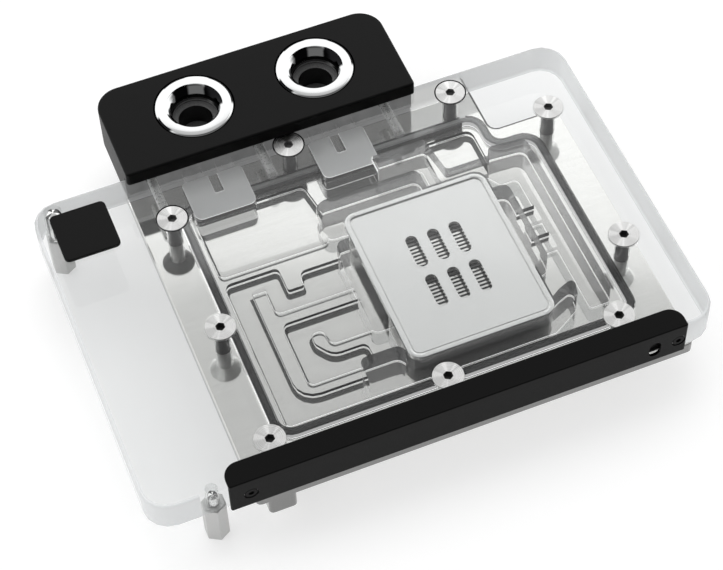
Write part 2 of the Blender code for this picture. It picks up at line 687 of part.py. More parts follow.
def build_small(black, steel):
    (x0, y0), (x1, y1) = BADGE
    bm = prism(rectangle(x0, x1, y0, y1, BADGE_R), GAP, GAP + BADGE_T, top=0.15)
    place("badge_plate", finish(bm, "badge_plate"), black)
    seat = -COVER_T - GAP
    posts = [("wing", WING_POSTS[:1], seat, STUD_CORE_R, STUD_TIP, 1),
             ("wing", WING_POSTS[1:], seat, CORNER_PIN_R, -GAP, 2),
             ("plate", PLATE_POSTS, PLATE_BOTTOM - GAP, STUD_CORE_R, PLATE_BOTTOM + 2.4, 1)]
    for kind, spots, seat, core, tip, first in posts:
        rings = [(circle(POST_AF / 2.0 - 0.2, 12), FOOT_Z), (hexagon(POST_AF, 12), FOOT_Z + 0.4),
                 (hexagon(POST_AF, 12), seat), (circle(core, 12), seat),
                 (circle(core, 12), tip - 0.4), (circle(core - 0.4, 12), tip)]
        mesh = finish(loft(rings), f"standoff_{kind}")
        smooth(mesh)
        for index, (x, y) in enumerate(spots):
            place(f"standoff_{kind}_{first + index}", mesh, steel, at=(x, y, 0.0))


def main():
    clear_scene()
    clear = make_material("clear_acrylic", (0.86, 0.88, 0.89), 0.08, 0.0)
    nickel = make_material("nickel_copper", (0.72, 0.72, 0.71), 0.22, 1.0)
    silver = make_material("satin_steel", (0.74, 0.74, 0.74), 0.3, 1.0)
    bright = make_material("bright_steel", (0.78, 0.78, 0.78), 0.2, 1.0)
    chrome = make_material("chrome", (0.85, 0.85, 0.86), 0.06, 1.0)
    satin_black = make_material("satin_black", (0.018, 0.018, 0.019), 0.38, 0.0)
    black_metal = make_material("black_aluminium", (0.02, 0.02, 0.021), 0.42, 0.3)
    rubber = make_material("seal_rubber", (0.02, 0.02, 0.02), 0.6, 0.0)
    board = make_material("circuit_board", (0.55, 0.56, 0.55), 0.5, 0.0)
    plastic = make_material("socket_plastic", (0.03, 0.03, 0.03), 0.5, 0.0)
    build_cover(clear)
    build_cold_plate(nickel)
    build_seal(rubber)
    build_jet(clear, silver)
    build_terminal(satin_black, chrome, rubber, bright)
    build_screws(bright, black_metal)
    build_rail(black_metal, board, plastic)
    build_small(satin_black, bright)


main()
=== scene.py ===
"""Dresses a graphics card water block: clear cover, nickel cold plate, black hose terminal.

Sizes are millimetres in the cover's frame: the origin is the front left corner of the clear
sheet's top face, X runs right, Y to the rear and Z up. at() turns them into metres.
"""

import json
import logging
import math
from dataclasses import dataclass
from enum import Enum, IntEnum
from typing import Any, Callable, Iterable, Optional, Sequence

import bmesh
import bpy
from mathutils import Matrix, Vector

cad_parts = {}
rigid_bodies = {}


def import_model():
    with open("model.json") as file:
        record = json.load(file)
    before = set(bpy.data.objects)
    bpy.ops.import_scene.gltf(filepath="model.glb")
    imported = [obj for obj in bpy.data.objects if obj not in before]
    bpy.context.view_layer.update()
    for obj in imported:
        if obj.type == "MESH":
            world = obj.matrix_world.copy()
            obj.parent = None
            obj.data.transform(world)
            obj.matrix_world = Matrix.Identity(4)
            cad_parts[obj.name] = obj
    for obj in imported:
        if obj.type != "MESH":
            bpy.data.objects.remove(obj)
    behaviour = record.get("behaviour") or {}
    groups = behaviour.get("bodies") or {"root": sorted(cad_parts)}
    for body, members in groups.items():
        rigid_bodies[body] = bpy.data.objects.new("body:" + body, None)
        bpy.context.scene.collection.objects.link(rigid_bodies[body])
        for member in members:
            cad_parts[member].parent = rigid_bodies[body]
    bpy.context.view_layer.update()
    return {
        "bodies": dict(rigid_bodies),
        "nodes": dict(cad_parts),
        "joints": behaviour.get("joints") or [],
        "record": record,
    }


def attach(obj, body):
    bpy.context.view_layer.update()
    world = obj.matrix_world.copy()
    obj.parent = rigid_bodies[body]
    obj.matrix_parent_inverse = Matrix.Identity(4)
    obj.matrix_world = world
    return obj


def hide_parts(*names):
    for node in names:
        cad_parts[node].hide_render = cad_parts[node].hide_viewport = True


LOG = logging.getLogger("water_block")
MM = 0.001
ORIGIN = Vector((-77.05, -63.65, 24.5))
FULL_TURN = 2.0 * math.pi
WHITE = (1.0, 1.0, 1.0, 1.0)
# Name of the map that turned pieces carry, and the millimetres that one unit of it spans.
TURNING_MAP = "turned"
MAP_UNIT = 10.0
# Levels that a noise mostly stays between.
NOISE = (0.3, 0.7)

Node = bpy.types.Node
Tree = bpy.types.NodeTree
Socket = bpy.types.NodeSocket
Piece = bpy.types.Object
Material = bpy.types.Material
Point = tuple[float, float, float]
Spot = tuple[float, float]
Profile = Sequence[Spot]


class Slot(Enum):
    """The record's material slots."""

    CLEAR = "clear_acrylic"
    NICKEL = "nickel_copper"
    SATIN_STEEL = "satin_steel"
    STEEL = "bright_steel"
    CHROME = "chrome"
    BLACK = "satin_black"
    ANODISED = "black_aluminium"
    RUBBER = "seal_rubber"
    BOARD = "circuit_board"
    SOCKET = "socket_plastic"


class Zone(IntEnum):
    """Zones of the clear sheet that differ in finish, in the order of its material slots."""

    POLISHED = 0
    DEEP_WALL = 1
    LOW_WALL = 2
    CEILING = 3
    EDGE = 4
    REAR = 5
    GROOVE_WALL = 6
    CHAMBER_WALL = 7
    GAP = 8
    STUD_BORE = 9


def at(x: float, y: float, z: float) -> Vector:
    """Turn millimetres in the cover's frame into metres in the part's frame."""
    return (ORIGIN + Vector((x, y, z))) * MM


def spot(place: Vector) -> Vector:
    """Turn metres in the part's frame into millimetres in the cover's frame."""
    return place / MM - ORIGIN


def linear(code: str) -> tuple[float, float, float, float]:
    """Turn an sRGB hex colour into a linear one.

    Args:
        code: Colour as six hex digits.

    Returns:
        Red, green, blue and an alpha of one.
    """
    def channel(value: float) -> float:
        """Undo the sRGB curve of one channel."""
        return value / 12.92 if value <= 0.04045 else ((value + 0.055) / 1.055) ** 2.4

    parts = [channel(int(code[i:i + 2], 16) / 255.0) for i in (0, 2, 4)]
    return (parts[0], parts[1], parts[2], 1.0)


def thread_turns(start: float, stop: float, pitch: float, turn: Profile) -> list[Spot]:
    """Repeat one turn of a thread's section.

    Args:
        start: Level at which the first turn starts.
        stop: Level that no turn reaches.
        pitch: Height of a turn, below zero where the section runs down.
        turn: Radius of each corner of one turn, and its height as a share of the pitch.

    Returns:
        Radius and height pairs.
    """
    line: list[Spot] = []
    level = start
    while abs(level + pitch - start) < abs(stop - start):
        line += [(radius, level + pitch * share) for radius, share in turn]
        level += pitch
    return line


def feed(tree: Tree, node: Node, inputs: dict[Any, Any]) -> None:
    """Fill a node's input sockets.

    Args:
        tree: Tree of the node.
        node: Node that is filled.
        inputs: Input socket to an output socket, which is linked, a hex colour or a constant.
    """
    for name, value in inputs.items():
        if isinstance(value, Socket):
            tree.links.new(value, node.inputs[name])
        else:
            node.inputs[name].default_value = linear(value) if isinstance(value, str) else value


def add(tree: Tree, kind: str, inputs: Optional[dict[Any, Any]] = None, **settings: Any) -> Node:
    """Add a shader node, with its settings and what its sockets take.

    Args:
        tree: Node tree that takes the node.
        kind: Node type's identifier, without "ShaderNode".
        inputs: Input socket to an output socket or a constant.
        settings: Properties of the node.

    Returns:
        The new node.
    """
    node = tree.nodes.new(f"ShaderNode{kind}")
    for name, value in settings.items():
        setattr(node, name, value)
    feed(tree, node, inputs or {})
    return node


def calc(tree: Tree, operation: str, *parts: Any) -> Socket:
    """Add one step of arithmetic on sockets or constants."""
    return add(tree, "Math", dict(enumerate(parts)), operation=operation).outputs[0]


def blend(tree: Tree, factor: Any, first: Any, second: Any) -> Socket:
    """Blend two colours by a factor; each is a socket, a hex colour or a constant."""
    return add(tree, "Mix", {0: factor, 6: first, 7: second}, data_type="RGBA").outputs[2]


def spread(tree: Tree, source: Any, start: Spot, end: Spot = (0.0, 1.0), smooth: bool = False) -> Socket:
    """Map one stretch of a factor onto another stretch.

    Args:
        tree: Node tree that takes the step.
        source: The factor.
        start: Stretch that it has.
        end: Stretch that it gets.
        smooth: True to ease it in and out at the ends.

    Returns:
        The new factor.
    """
    kind = "SMOOTHSTEP" if smooth else "LINEAR"
    return add(tree, "MapRange", {0: source, 1: start[0], 2: start[1], 3: end[0], 4: end[1]},
               interpolation_type=kind).outputs[0]


def here(tree: Tree) -> Socket:
    """Read the place on the piece, in metres in the part's frame."""
    return add(tree, "TexCoord").outputs["Object"]


def axes(tree: Tree, source: Any) -> Any:
    """Split a vector into its X, Y and Z."""
    return add(tree, "SeparateXYZ", {0: source}).outputs


def light_path(tree: Tree) -> Any:
    """Read what kind of ray meets the surface."""
    return add(tree, "LightPath").outputs


@dataclass(frozen=True)
class Finish:
    """A surface finish: one Principled shader and the detail that varies over it."""

    name: str
    colour: str
    roughness: float
    metallic: float = 0.0
    coat: float = 0.0
    coat_roughness: float = 0.05
    specular: float = 0.5

    def build(self) -> Material:
        """Make the material.

        Returns:
            The material, with its detail added.
        """
        material = bpy.data.materials.new(self.name)
        material.use_nodes = True
        tree = material.node_tree
        shader = tree.nodes["Principled BSDF"]
        feed(tree, shader, {
            "Base Color": self.colour, "Roughness": self.roughness,
            "Metallic": self.metallic, "Coat Weight": self.coat,
            "Coat Roughness": self.coat_roughness, "Specular IOR Level": self.specular})
        self.detail(tree, shader)
        return material

    def detail(self, tree: Tree, shader: Node) -> None:
        """Add what varies over the surface."""

    @staticmethod
    def grain(tree: Tree, size: float, stretch: Point = (1.0, 1.0, 1.0), detail: float = 3.0) -> Socket:
        """Add noise whose grains are a number of millimetres across.

        Args:
            tree: Node tree that takes it.
            size: Grain width in millimetres.
            stretch: How many times finer the grain is along each axis.
            detail: Finer layers of the noise.

        Returns:
            The noise's level.
        """
        scale = tuple(part / (size * MM) for part in stretch)
        fit = add(tree, "Mapping", {0: here(tree), 3: scale}).outputs[0]
        return add(tree, "TexNoise", {0: fit, "Scale": 1.0, "Detail": detail}).outputs[0]

    @staticmethod
    def around(level: float, swing: float) -> Spot:
        """Give the stretch that lies evenly round a level."""
        return (level - swing, level + swing)

    @staticmethod
    def paint_light_by_depth(tree: Tree, span: Spot, front: str, rear: str) -> Socket:
        """Paint light by depth: blend a colour from front to rear, over a span of depths in millimetres.
        """
        depth = spread(tree, axes(tree, here(tree))["Y"], tuple(at(0.0, y, 0.0).y for y in span))
        return blend(tree, depth, front, rear)

    @staticmethod
    def sectors(tree: Tree, turn: Socket, noise: dict[str, float], span: Spot) -> Socket:
        """Divide a turned piece into sectors, by a noise that runs round its axis; the sectors carry
        painted reflections and highlights.

        Args:
            tree: Node tree that takes it.
            turn: Angle on the turning map, where one is a full turn.
            noise: Scale and detail of the noise.
            span: Levels of the noise between which one kind of sector gives way to the other.

        Returns:
            Zero in one kind of sector and one in the other.
        """
        angle = calc(tree, "MULTIPLY", turn, FULL_TURN)
        way = add(tree, "CombineXYZ", {
            0: calc(tree, "COSINE", angle), 1: calc(tree, "SINE", angle)}).outputs[0]
        return spread(tree, add(tree, "TexNoise", {0: way, **noise}).outputs[0], span, smooth=True)


@dataclass(frozen=True)
class Grained(Finish):
    """A finish with a fine grain in its gloss and its surface, such as moulded or blasted."""

    grain_mm: float = 0.4
    swing: float = 0.06
    relief_mm: float = 0.01
    relief: float = 0.25

    def detail(self, tree: Tree, shader: Node) -> None:
        """Vary gloss and height with one noise.

        Args:
            tree: Tree of the material.
            shader: Its shader.
        """
        noise = self.grain(tree, self.grain_mm)
        height = add(tree, "Bump", {"Height": noise, "Strength": self.relief,
                                    "Distance": self.relief_mm * MM}).outputs[0]
        feed(tree, shader, {"Normal": height, "Roughness": spread(
            tree, noise, NOISE, self.around(self.roughness, self.swing))})


@dataclass(frozen=True)
class Plated(Finish):
    """Nickel on copper: a satin mirror on top, with painted shade: a darker colour on its milled sides
    and a dark line round its notch.
    """

    lapped: str = "ecebe8"
    # Painted shade: the colour of upright sides, and of a line round the notch, where the terminal's
    # shade falls.
    side: str = "8e8e8d"
    line: str = "2e2e2e"
    notch: Spot = (128.1, 84.95)
    notch_radius: float = 2.5
    notch_shade_reach: float = 0.6

    def detail(self, tree: Tree, shader: Node) -> None:
        """Vary the gloss in clouds and the tone along the lapping, and paint shade: a darker colour on
        upright sides and a dark line round the notch.

        Args:
            tree: Tree of the material.
            shader: Its shader.
        """
        cloud = self.grain(tree, 9.0, detail=2.0)
        lapping = self.grain(tree, 0.5, (0.04, 1.0, 1.0), 2.0)
        top = blend(tree, lapping, self.lapped, self.colour)
        normal = add(tree, "NewGeometry").outputs["Normal"]
        # Painted shade: upright faces take a darker colour, and a line round the notch a dark one.
        painted_side_shade_mask = calc(tree, "LESS_THAN", calc(tree, "ABSOLUTE", axes(tree, normal)["Z"]), 0.5)
        corner = at(self.notch[0] + self.notch_radius, self.notch[1] + self.notch_radius, 0.0)
        away = add(tree, "VectorMath", {0: corner, 1: here(tree)}, operation="SUBTRACT").outputs[0]
        flat = add(tree, "VectorMath", {0: away, 1: (1.0, 1.0, 0.0)}, operation="MULTIPLY").outputs[0]
        outside = add(tree, "VectorMath", {0: flat}, operation="MAXIMUM").outputs[0]
        reach = add(tree, "VectorMath", {0: outside}, operation="LENGTH").outputs["Value"]
        near = calc(tree, "LESS_THAN", reach, (self.notch_radius + self.notch_shade_reach) * MM)
        sides = blend(tree, painted_side_shade_mask, top, self.side)
        feed(tree, shader, {
            "Base Color": blend(tree, near, sides, self.line),
            "Roughness": spread(tree, cloud, NOISE, self.around(self.roughness, 0.012))})


@dataclass(frozen=True)
class Moulded(Grained):
    """Black rubber cord, with a painted reflection: its colour lightens towards the rear."""

    # Painted reflection: the colour that the cord takes towards the rear.
    rear_painted_reflection: str = "a4a4a4"
    span: Spot = (64.0, 84.0)

    def detail(self, tree: Tree, shader: Node) -> None:
        """Add the grain, and a painted reflection that lightens the colour from front to rear."""
        super().detail(tree, shader)
        feed(tree, shader, {"Base Color": self.paint_light_by_depth(tree, self.span, self.colour, self.rear_painted_reflection)})


@dataclass(frozen=True)
class DarkThreadPaintedReflection(Finish):
    """Black colour on the thread; seen in a reflection it turns pale steel, a painted reflection, and it
    lightens towards the rear, also painted.
    """

    rear_painted_reflection: str = "565656"
    painted_mirror_colour: str = "a6a6a5"
    span: Spot = (48.0, 80.0)

    def detail(self, tree: Tree, shader: Node) -> None:
        """Colour the thread black to the eye, and paint it pale steel where it is seen in a reflection.

        Args:
            tree: Tree of the material.
            shader: Its shader.
        """
        # Painted reflection: a pale steel colour where the ray comes from a reflection.
        seen = calc(tree, "GREATER_THAN", light_path(tree)["Glossy Depth"], 0.5)
        dark = self.paint_light_by_depth(tree, self.span, self.colour, self.rear_painted_reflection)
        feed(tree, shader, {
            "Base Color": blend(tree, seen, dark, self.painted_mirror_colour), "Metallic": seen,
            "Roughness": spread(tree, self.grain(tree, 0.5), NOISE, self.around(self.roughness, 0.05))})


@dataclass(frozen=True)
class Chromed(Finish):
    """Chrome: a hard mirror whose bevels carry a painted reflection, sectors of bright and near-black
    colour.
    """

    shade: str = "161617"

    def detail(self, tree: Tree, shader: Node) -> None:
        """Paint dark reflections on sloping faces, in sectors of the turning map.

        Args:
            tree: Tree of the material.
            shader: Its shader.
        """
        turn = axes(tree, add(tree, "UVMap", uv_map=TURNING_MAP).outputs[0])["X"]
        sector = self.sectors(tree, turn, {"Scale": 0.75, "Detail": 0.0}, (0.47, 0.51))
        normal = add(tree, "NewGeometry").outputs["True Normal"]
        flat = calc(tree, "GREATER_THAN", axes(tree, normal)["Z"], 0.995)
        # Painted reflection: sloping faces turn dark in sectors.
        bright = calc(tree, "MAXIMUM", flat, sector)
        feed(tree, shader, {"Base Color": blend(
            tree, bright, self.shade, self.colour)})


@dataclass(frozen=True)
class Turned(Finish):
    """Steel faced on a lathe: fine rings that spread a highlight into wedges, and painted highlight
    wedges in its colour.
    """

    shade: str = "cbcbca"
    pitch_mm: float = 0.22
    smear: float = 0.82

    def detail(self, tree: Tree, shader: Node) -> None:
        """Run rings and the highlight's direction from the piece's turning map, and paint wedges of
        paler and darker colour.

        Args:
            tree: Tree of the material.
            shader: Its shader.
        """
        turned = axes(tree, add(tree, "UVMap", uv_map=TURNING_MAP).outputs[0])
        rings = calc(tree, "MULTIPLY", turned["Y"], MAP_UNIT / self.pitch_mm)
        line = add(tree, "TexNoise", {"W": rings, "Scale": 1.0, "Detail": 2.0},
                   noise_dimensions="1D").outputs[0]
        # Painted highlight: wedges of paler and darker colour round the axis.
        painted_wedge = self.sectors(tree, turned["X"], {"Scale": 1.5, "Detail": 1.0}, (0.42, 0.58))
        feed(tree, shader, {
            "Anisotropic": self.smear,
            "Tangent": add(tree, "Tangent", direction_type="UV_MAP", uv_map=TURNING_MAP).outputs[0],
            "Roughness": spread(tree, line, NOISE, self.around(self.roughness, 0.07)),
            "Base Color": blend(tree, painted_wedge, self.shade, self.colour)})


@dataclass(frozen=True)
class Clear(Finish):
    """Cast acrylic, flame-bright outside. Light passes it with little tint.

    The body hardly bends light, so that the channels lie where the eye finds them, and the coat
    gives the gloss of acrylic.
    """

    passing: str = "dadbdb"
    passes: float = 1.0
    # Strength of a painted glow: the surface emits light, though it is no lamp.
    painted_glow: float = 0.0
    body_ior: float = 1.02
    coat_ior: float = 1.49

    def detail(self, tree: Tree, shader: Node) -> None:
        """Let light and shadow rays through, and add a painted glow, an emission for the light that runs
        inside the sheet.

        Args:
            tree: Tree of the material.
            shader: Its shader.
        """
        feed(tree, shader, {
            "Emission Color": WHITE, "Emission Strength": self.painted_glow,
            "Transmission Weight": self.passes, "IOR": self.body_ior, "Coat IOR": self.coat_ior})
        film = add(tree, "BsdfTransparent", {"Color": self.passing}).outputs[0]
        mix = add(tree, "MixShader", {
            0: light_path(tree)["Is Shadow Ray"], 1: shader.outputs[0], 2: film}).outputs[0]
        feed(tree, tree.nodes["Material Output"], {"Surface": mix})


@dataclass(frozen=True)
class PaintedGlowEdge(Finish):
    """A sawn edge with a painted glow: an emission for the light that runs inside the sheet."""

    glow: float = 0.12

    def detail(self, tree: Tree, shader: Node) -> None:
        """Add the painted glow, a little uneven along the saw marks.

        Args:
            tree: Tree of the material.
            shader: Its shader.
        """
        marks = self.grain(tree, 3.0, (1.0, 1.0, 0.3), 2.0)
        feed(tree, shader, {"Emission Color": WHITE, "Emission Strength": spread(
            tree, marks, NOISE, self.around(self.glow, 0.15 * self.glow))})


@dataclass(frozen=True)
class MilledWall(Clear):
    """Milled wall of a channel, with painted shade and light: a dark metal mirror from the channel,
    which stands in for the dark look of the wall, lighter towards the rear, a painted reflection; clear
    from the sheet's side.

    A painted highlight, a glowing line, runs along its foot, and along its crown where that lies on the
    wall.
    """

    foot_mm: float = -9.8
    crown_mm: float = 5.0
    rear_painted_reflection: str = "a8a8a9"
    inside: str = "f4f5f5"
    # Strengths of the painted glow: along the lines, and over the back side.
    glow: float = 0.6
    back_glow: float = 0.0
    both_sides: bool = False
    shine: float = 0.7
    span: Spot = (30.0, 74.0)

    def detail(self, tree: Tree, shader: Node) -> None:
        """Paint a dark mirror on the channel's side and glowing foot and crown lines as painted
        highlights, and clear otherwise.

        Args:
            tree: Tree of the material.
            shader: Its shader.
        """
        super().detail(tree, shader)
        height = axes(tree, here(tree))["Z"]
        # Painted highlight: a glowing line at the foot and the crown.
        line = calc(tree, "MAXIMUM",
                    calc(tree, "LESS_THAN", height, at(0.0, 0.0, self.foot_mm).z),
                    calc(tree, "GREATER_THAN", height, at(0.0, 0.0, self.crown_mm).z))
        body = calc(tree, "SUBTRACT", 1.0, line)
        behind = add(tree, "NewGeometry").outputs["Backfacing"]
        front = calc(tree, "SUBTRACT", 1.0, 0.0 if self.both_sides else behind)
        # Painted shade: on the channel's side the wall is a dark metal mirror.
        mirror = calc(tree, "MULTIPLY", front, body)
        wall = self.paint_light_by_depth(tree, self.span, self.colour, self.rear_painted_reflection)
        feed(tree, shader, {
            "Base Color": blend(tree, mirror, self.inside, wall),
            "Metallic": calc(tree, "MULTIPLY", mirror, self.shine),
            "Roughness": calc(tree, "MULTIPLY", mirror, self.roughness),
            "Transmission Weight": body,
            "Emission Strength": calc(tree, "MULTIPLY_ADD", line, self.glow, calc(
                tree, "MULTIPLY", behind, self.back_glow))})


class Finishes:
    """All finishes of the block, each made once."""

    def __init__(self) -> None:
        """Make the materials, keyed by slot and by the sheet's zones, and the extra ones by name."""
        by_slot: dict[Slot, Finish] = {
            # Cast acrylic sheet: clear, polished faces.
            Slot.CLEAR: Clear("cast_acrylic", "f1f2f2", 0.0, coat=1.0, coat_roughness=0.0),
            # Electroless nickel over copper: a soft mirror with a faint cloud.
            Slot.NICKEL: Plated("nickel_plating", "f8f7f5", 0.07, metallic=0.93),
            # Stainless sheet, bead-blasted: silver with a fine grain.
            Slot.SATIN_STEEL: Grained("satin_stainless", "eaeae9", 0.24, metallic=1.0, grain_mm=0.5,
                                      swing=0.015, relief_mm=0.002, relief=0.04),
            # Stainless bar, faced on a lathe: rings that throw wedges of light, and wedges of painted
            # highlight in its colour.
            Slot.STEEL: Turned("turned_stainless", "e4e4e3", 0.3, metallic=1.0),
            # Chrome on brass: a hard mirror, with painted dark reflections in sectors on its bevels.
            Slot.CHROME: Chromed("chrome_plating", "dcdddd", 0.05, metallic=1.0),
            # Milled acetal: deep black with a satin grain.
            Slot.BLACK: Grained("milled_acetal", "090909", 0.44, specular=0.12, grain_mm=0.35,
                                swing=0.05, relief_mm=0.008, relief=0.2),
            # Anodised aluminium: black, a little smoother than the acetal.
            Slot.ANODISED: Grained("black_anodised", "0a0a0a", 0.42, specular=0.08, grain_mm=0.3,
                                   swing=0.04, relief_mm=0.006, relief=0.2),
            # Moulded nitrile rubber: black and dull, with a soft highlight; its colour lightens towards
            # the rear, a painted reflection.
            Slot.RUBBER: Moulded("nitrile_rubber", "141414", 0.34, specular=0.2, grain_mm=0.6,
                                 swing=0.05),
            # White solder lacquer on a circuit board.
            Slot.BOARD: Grained("board_lacquer", "dcdcdc", 0.45, grain_mm=0.8),
            # Black nylon socket.
            Slot.SOCKET: Grained("socket_nylon", "1c1c1c", 0.5, grain_mm=0.4),
        }
        by_zone: dict[Zone, Finish] = {
            # Milled acrylic, painted as a dark mirror with glowing lines and a painted reflection that
            # lightens it to the rear:
            # the deep channels, the shallow fields, which look darker, the seal's groove and the port
            # chambers.
            Zone.DEEP_WALL: MilledWall("milled_acrylic_deep", "565657", 0.1),
            Zone.LOW_WALL: MilledWall("milled_acrylic_low", "1c1c1d", 0.08, foot_mm=-9.89,
                                      rear_painted_reflection="2c2c2d", glow=0.8, shine=0.98),
            Zone.GROOVE_WALL: MilledWall("milled_acrylic_groove", "4a4a4b", 0.1,
                                         rear_painted_reflection="9c9c9d", back_glow=0.42),
            Zone.CHAMBER_WALL: MilledWall("milled_acrylic_chamber", "8a8a8b", 0.12, foot_mm=-20.0,
                                          crown_mm=-5.3, rear_painted_reflection="8e8e8f", both_sides=True,
                                          shine=0.8),
            # Milled ceiling of a port chamber: frosted by the end of the cutter.
            Zone.CEILING: Clear("frosted_acrylic", "dcdddd", 0.35, passes=0.5),
            # Sawn and polished edge of the sheet: a pale grey colour and a painted glow stand in for the
            # light that it gathers from all sides.
            Zone.EDGE: Clear("polished_edge", "d4d6d7", 0.05, coat=0.4, coat_roughness=0.02,
                             passes=0.45, painted_glow=0.1),
            # Rear edge against the terminal: a flat grey, painted shade of the terminal, and a painted
            # glow for light carried in the sheet.
            Zone.REAR: PaintedGlowEdge("shaded_edge", "5e5f5f", 0.4),
            # Gap round a countersunk head beside the terminal: coloured near black, painted shade.
            Zone.GAP: Grained("countersink_shade", "141414", 0.4, grain_mm=0.5),
            # Bores of the studs: clear, with a faint painted glow.
            Zone.STUD_BORE: Clear("threaded_bore", "f4f5f5", 0.1, painted_glow=0.04),
        }
        self.by_slot: dict[Slot, Material] = {key: finish.build() for key, finish in by_slot.items()}
        built = {key: finish.build() for key, finish in by_zone.items()}
        built[Zone.POLISHED] = self.by_slot[Slot.CLEAR]
        self.zones: list[Material] = [built[zone] for zone in Zone]
        # Steel stud, rolled thread; and the same steel on standoffs, blasted and pale.
        self.stud = Grained("rolled_steel", "bcbcbb", 0.3, metallic=0.7, grain_mm=0.5,
                            swing=0.06, relief_mm=0.006, relief=0.3).build()
        self.post = Grained("blasted_steel", "c8c8c7", 0.42, metallic=0.75, grain_mm=0.5,
                            swing=0.05, relief_mm=0.004, relief=0.2).build()
        # The domed end of a standoff's stud, polished, with painted dark reflections in sectors.
        self.tip = Chromed("polished_steel", "ececeb", 0.14, metallic=1.0, shade="5e5e5e").build()
        # Black colour on the cover screws' threads, with a painted reflection, and painted shade in
        # their hex sockets.
        self.dark_thread_and_socket_shade = DarkThreadPaintedReflection("dark_thread_painted_reflection", "121212", 0.35).build()
        # Bored acetal: a smooth wall, and a paler grey on the flat shoulder, painted light.
        self.bored = Grained("bored_acetal", "0b0b0b", 0.14, specular=0.7, grain_mm=0.8,
                             swing=0.03, relief_mm=0.004, relief=0.15).build()
        self.shoulder = Grained("shoulder_painted_light", "5a5a5a", 0.3, grain_mm=0.4).build()

    def dress(self, piece: Piece, slot: Slot) -> None:
        """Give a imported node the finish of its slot, on the object and not on its mesh.

        Args:
            piece: The node's object.
            slot: Its material slot in the record.
        """
        for holder in piece.material_slots:
            holder.link = "OBJECT"
            holder.material = self.by_slot[slot]


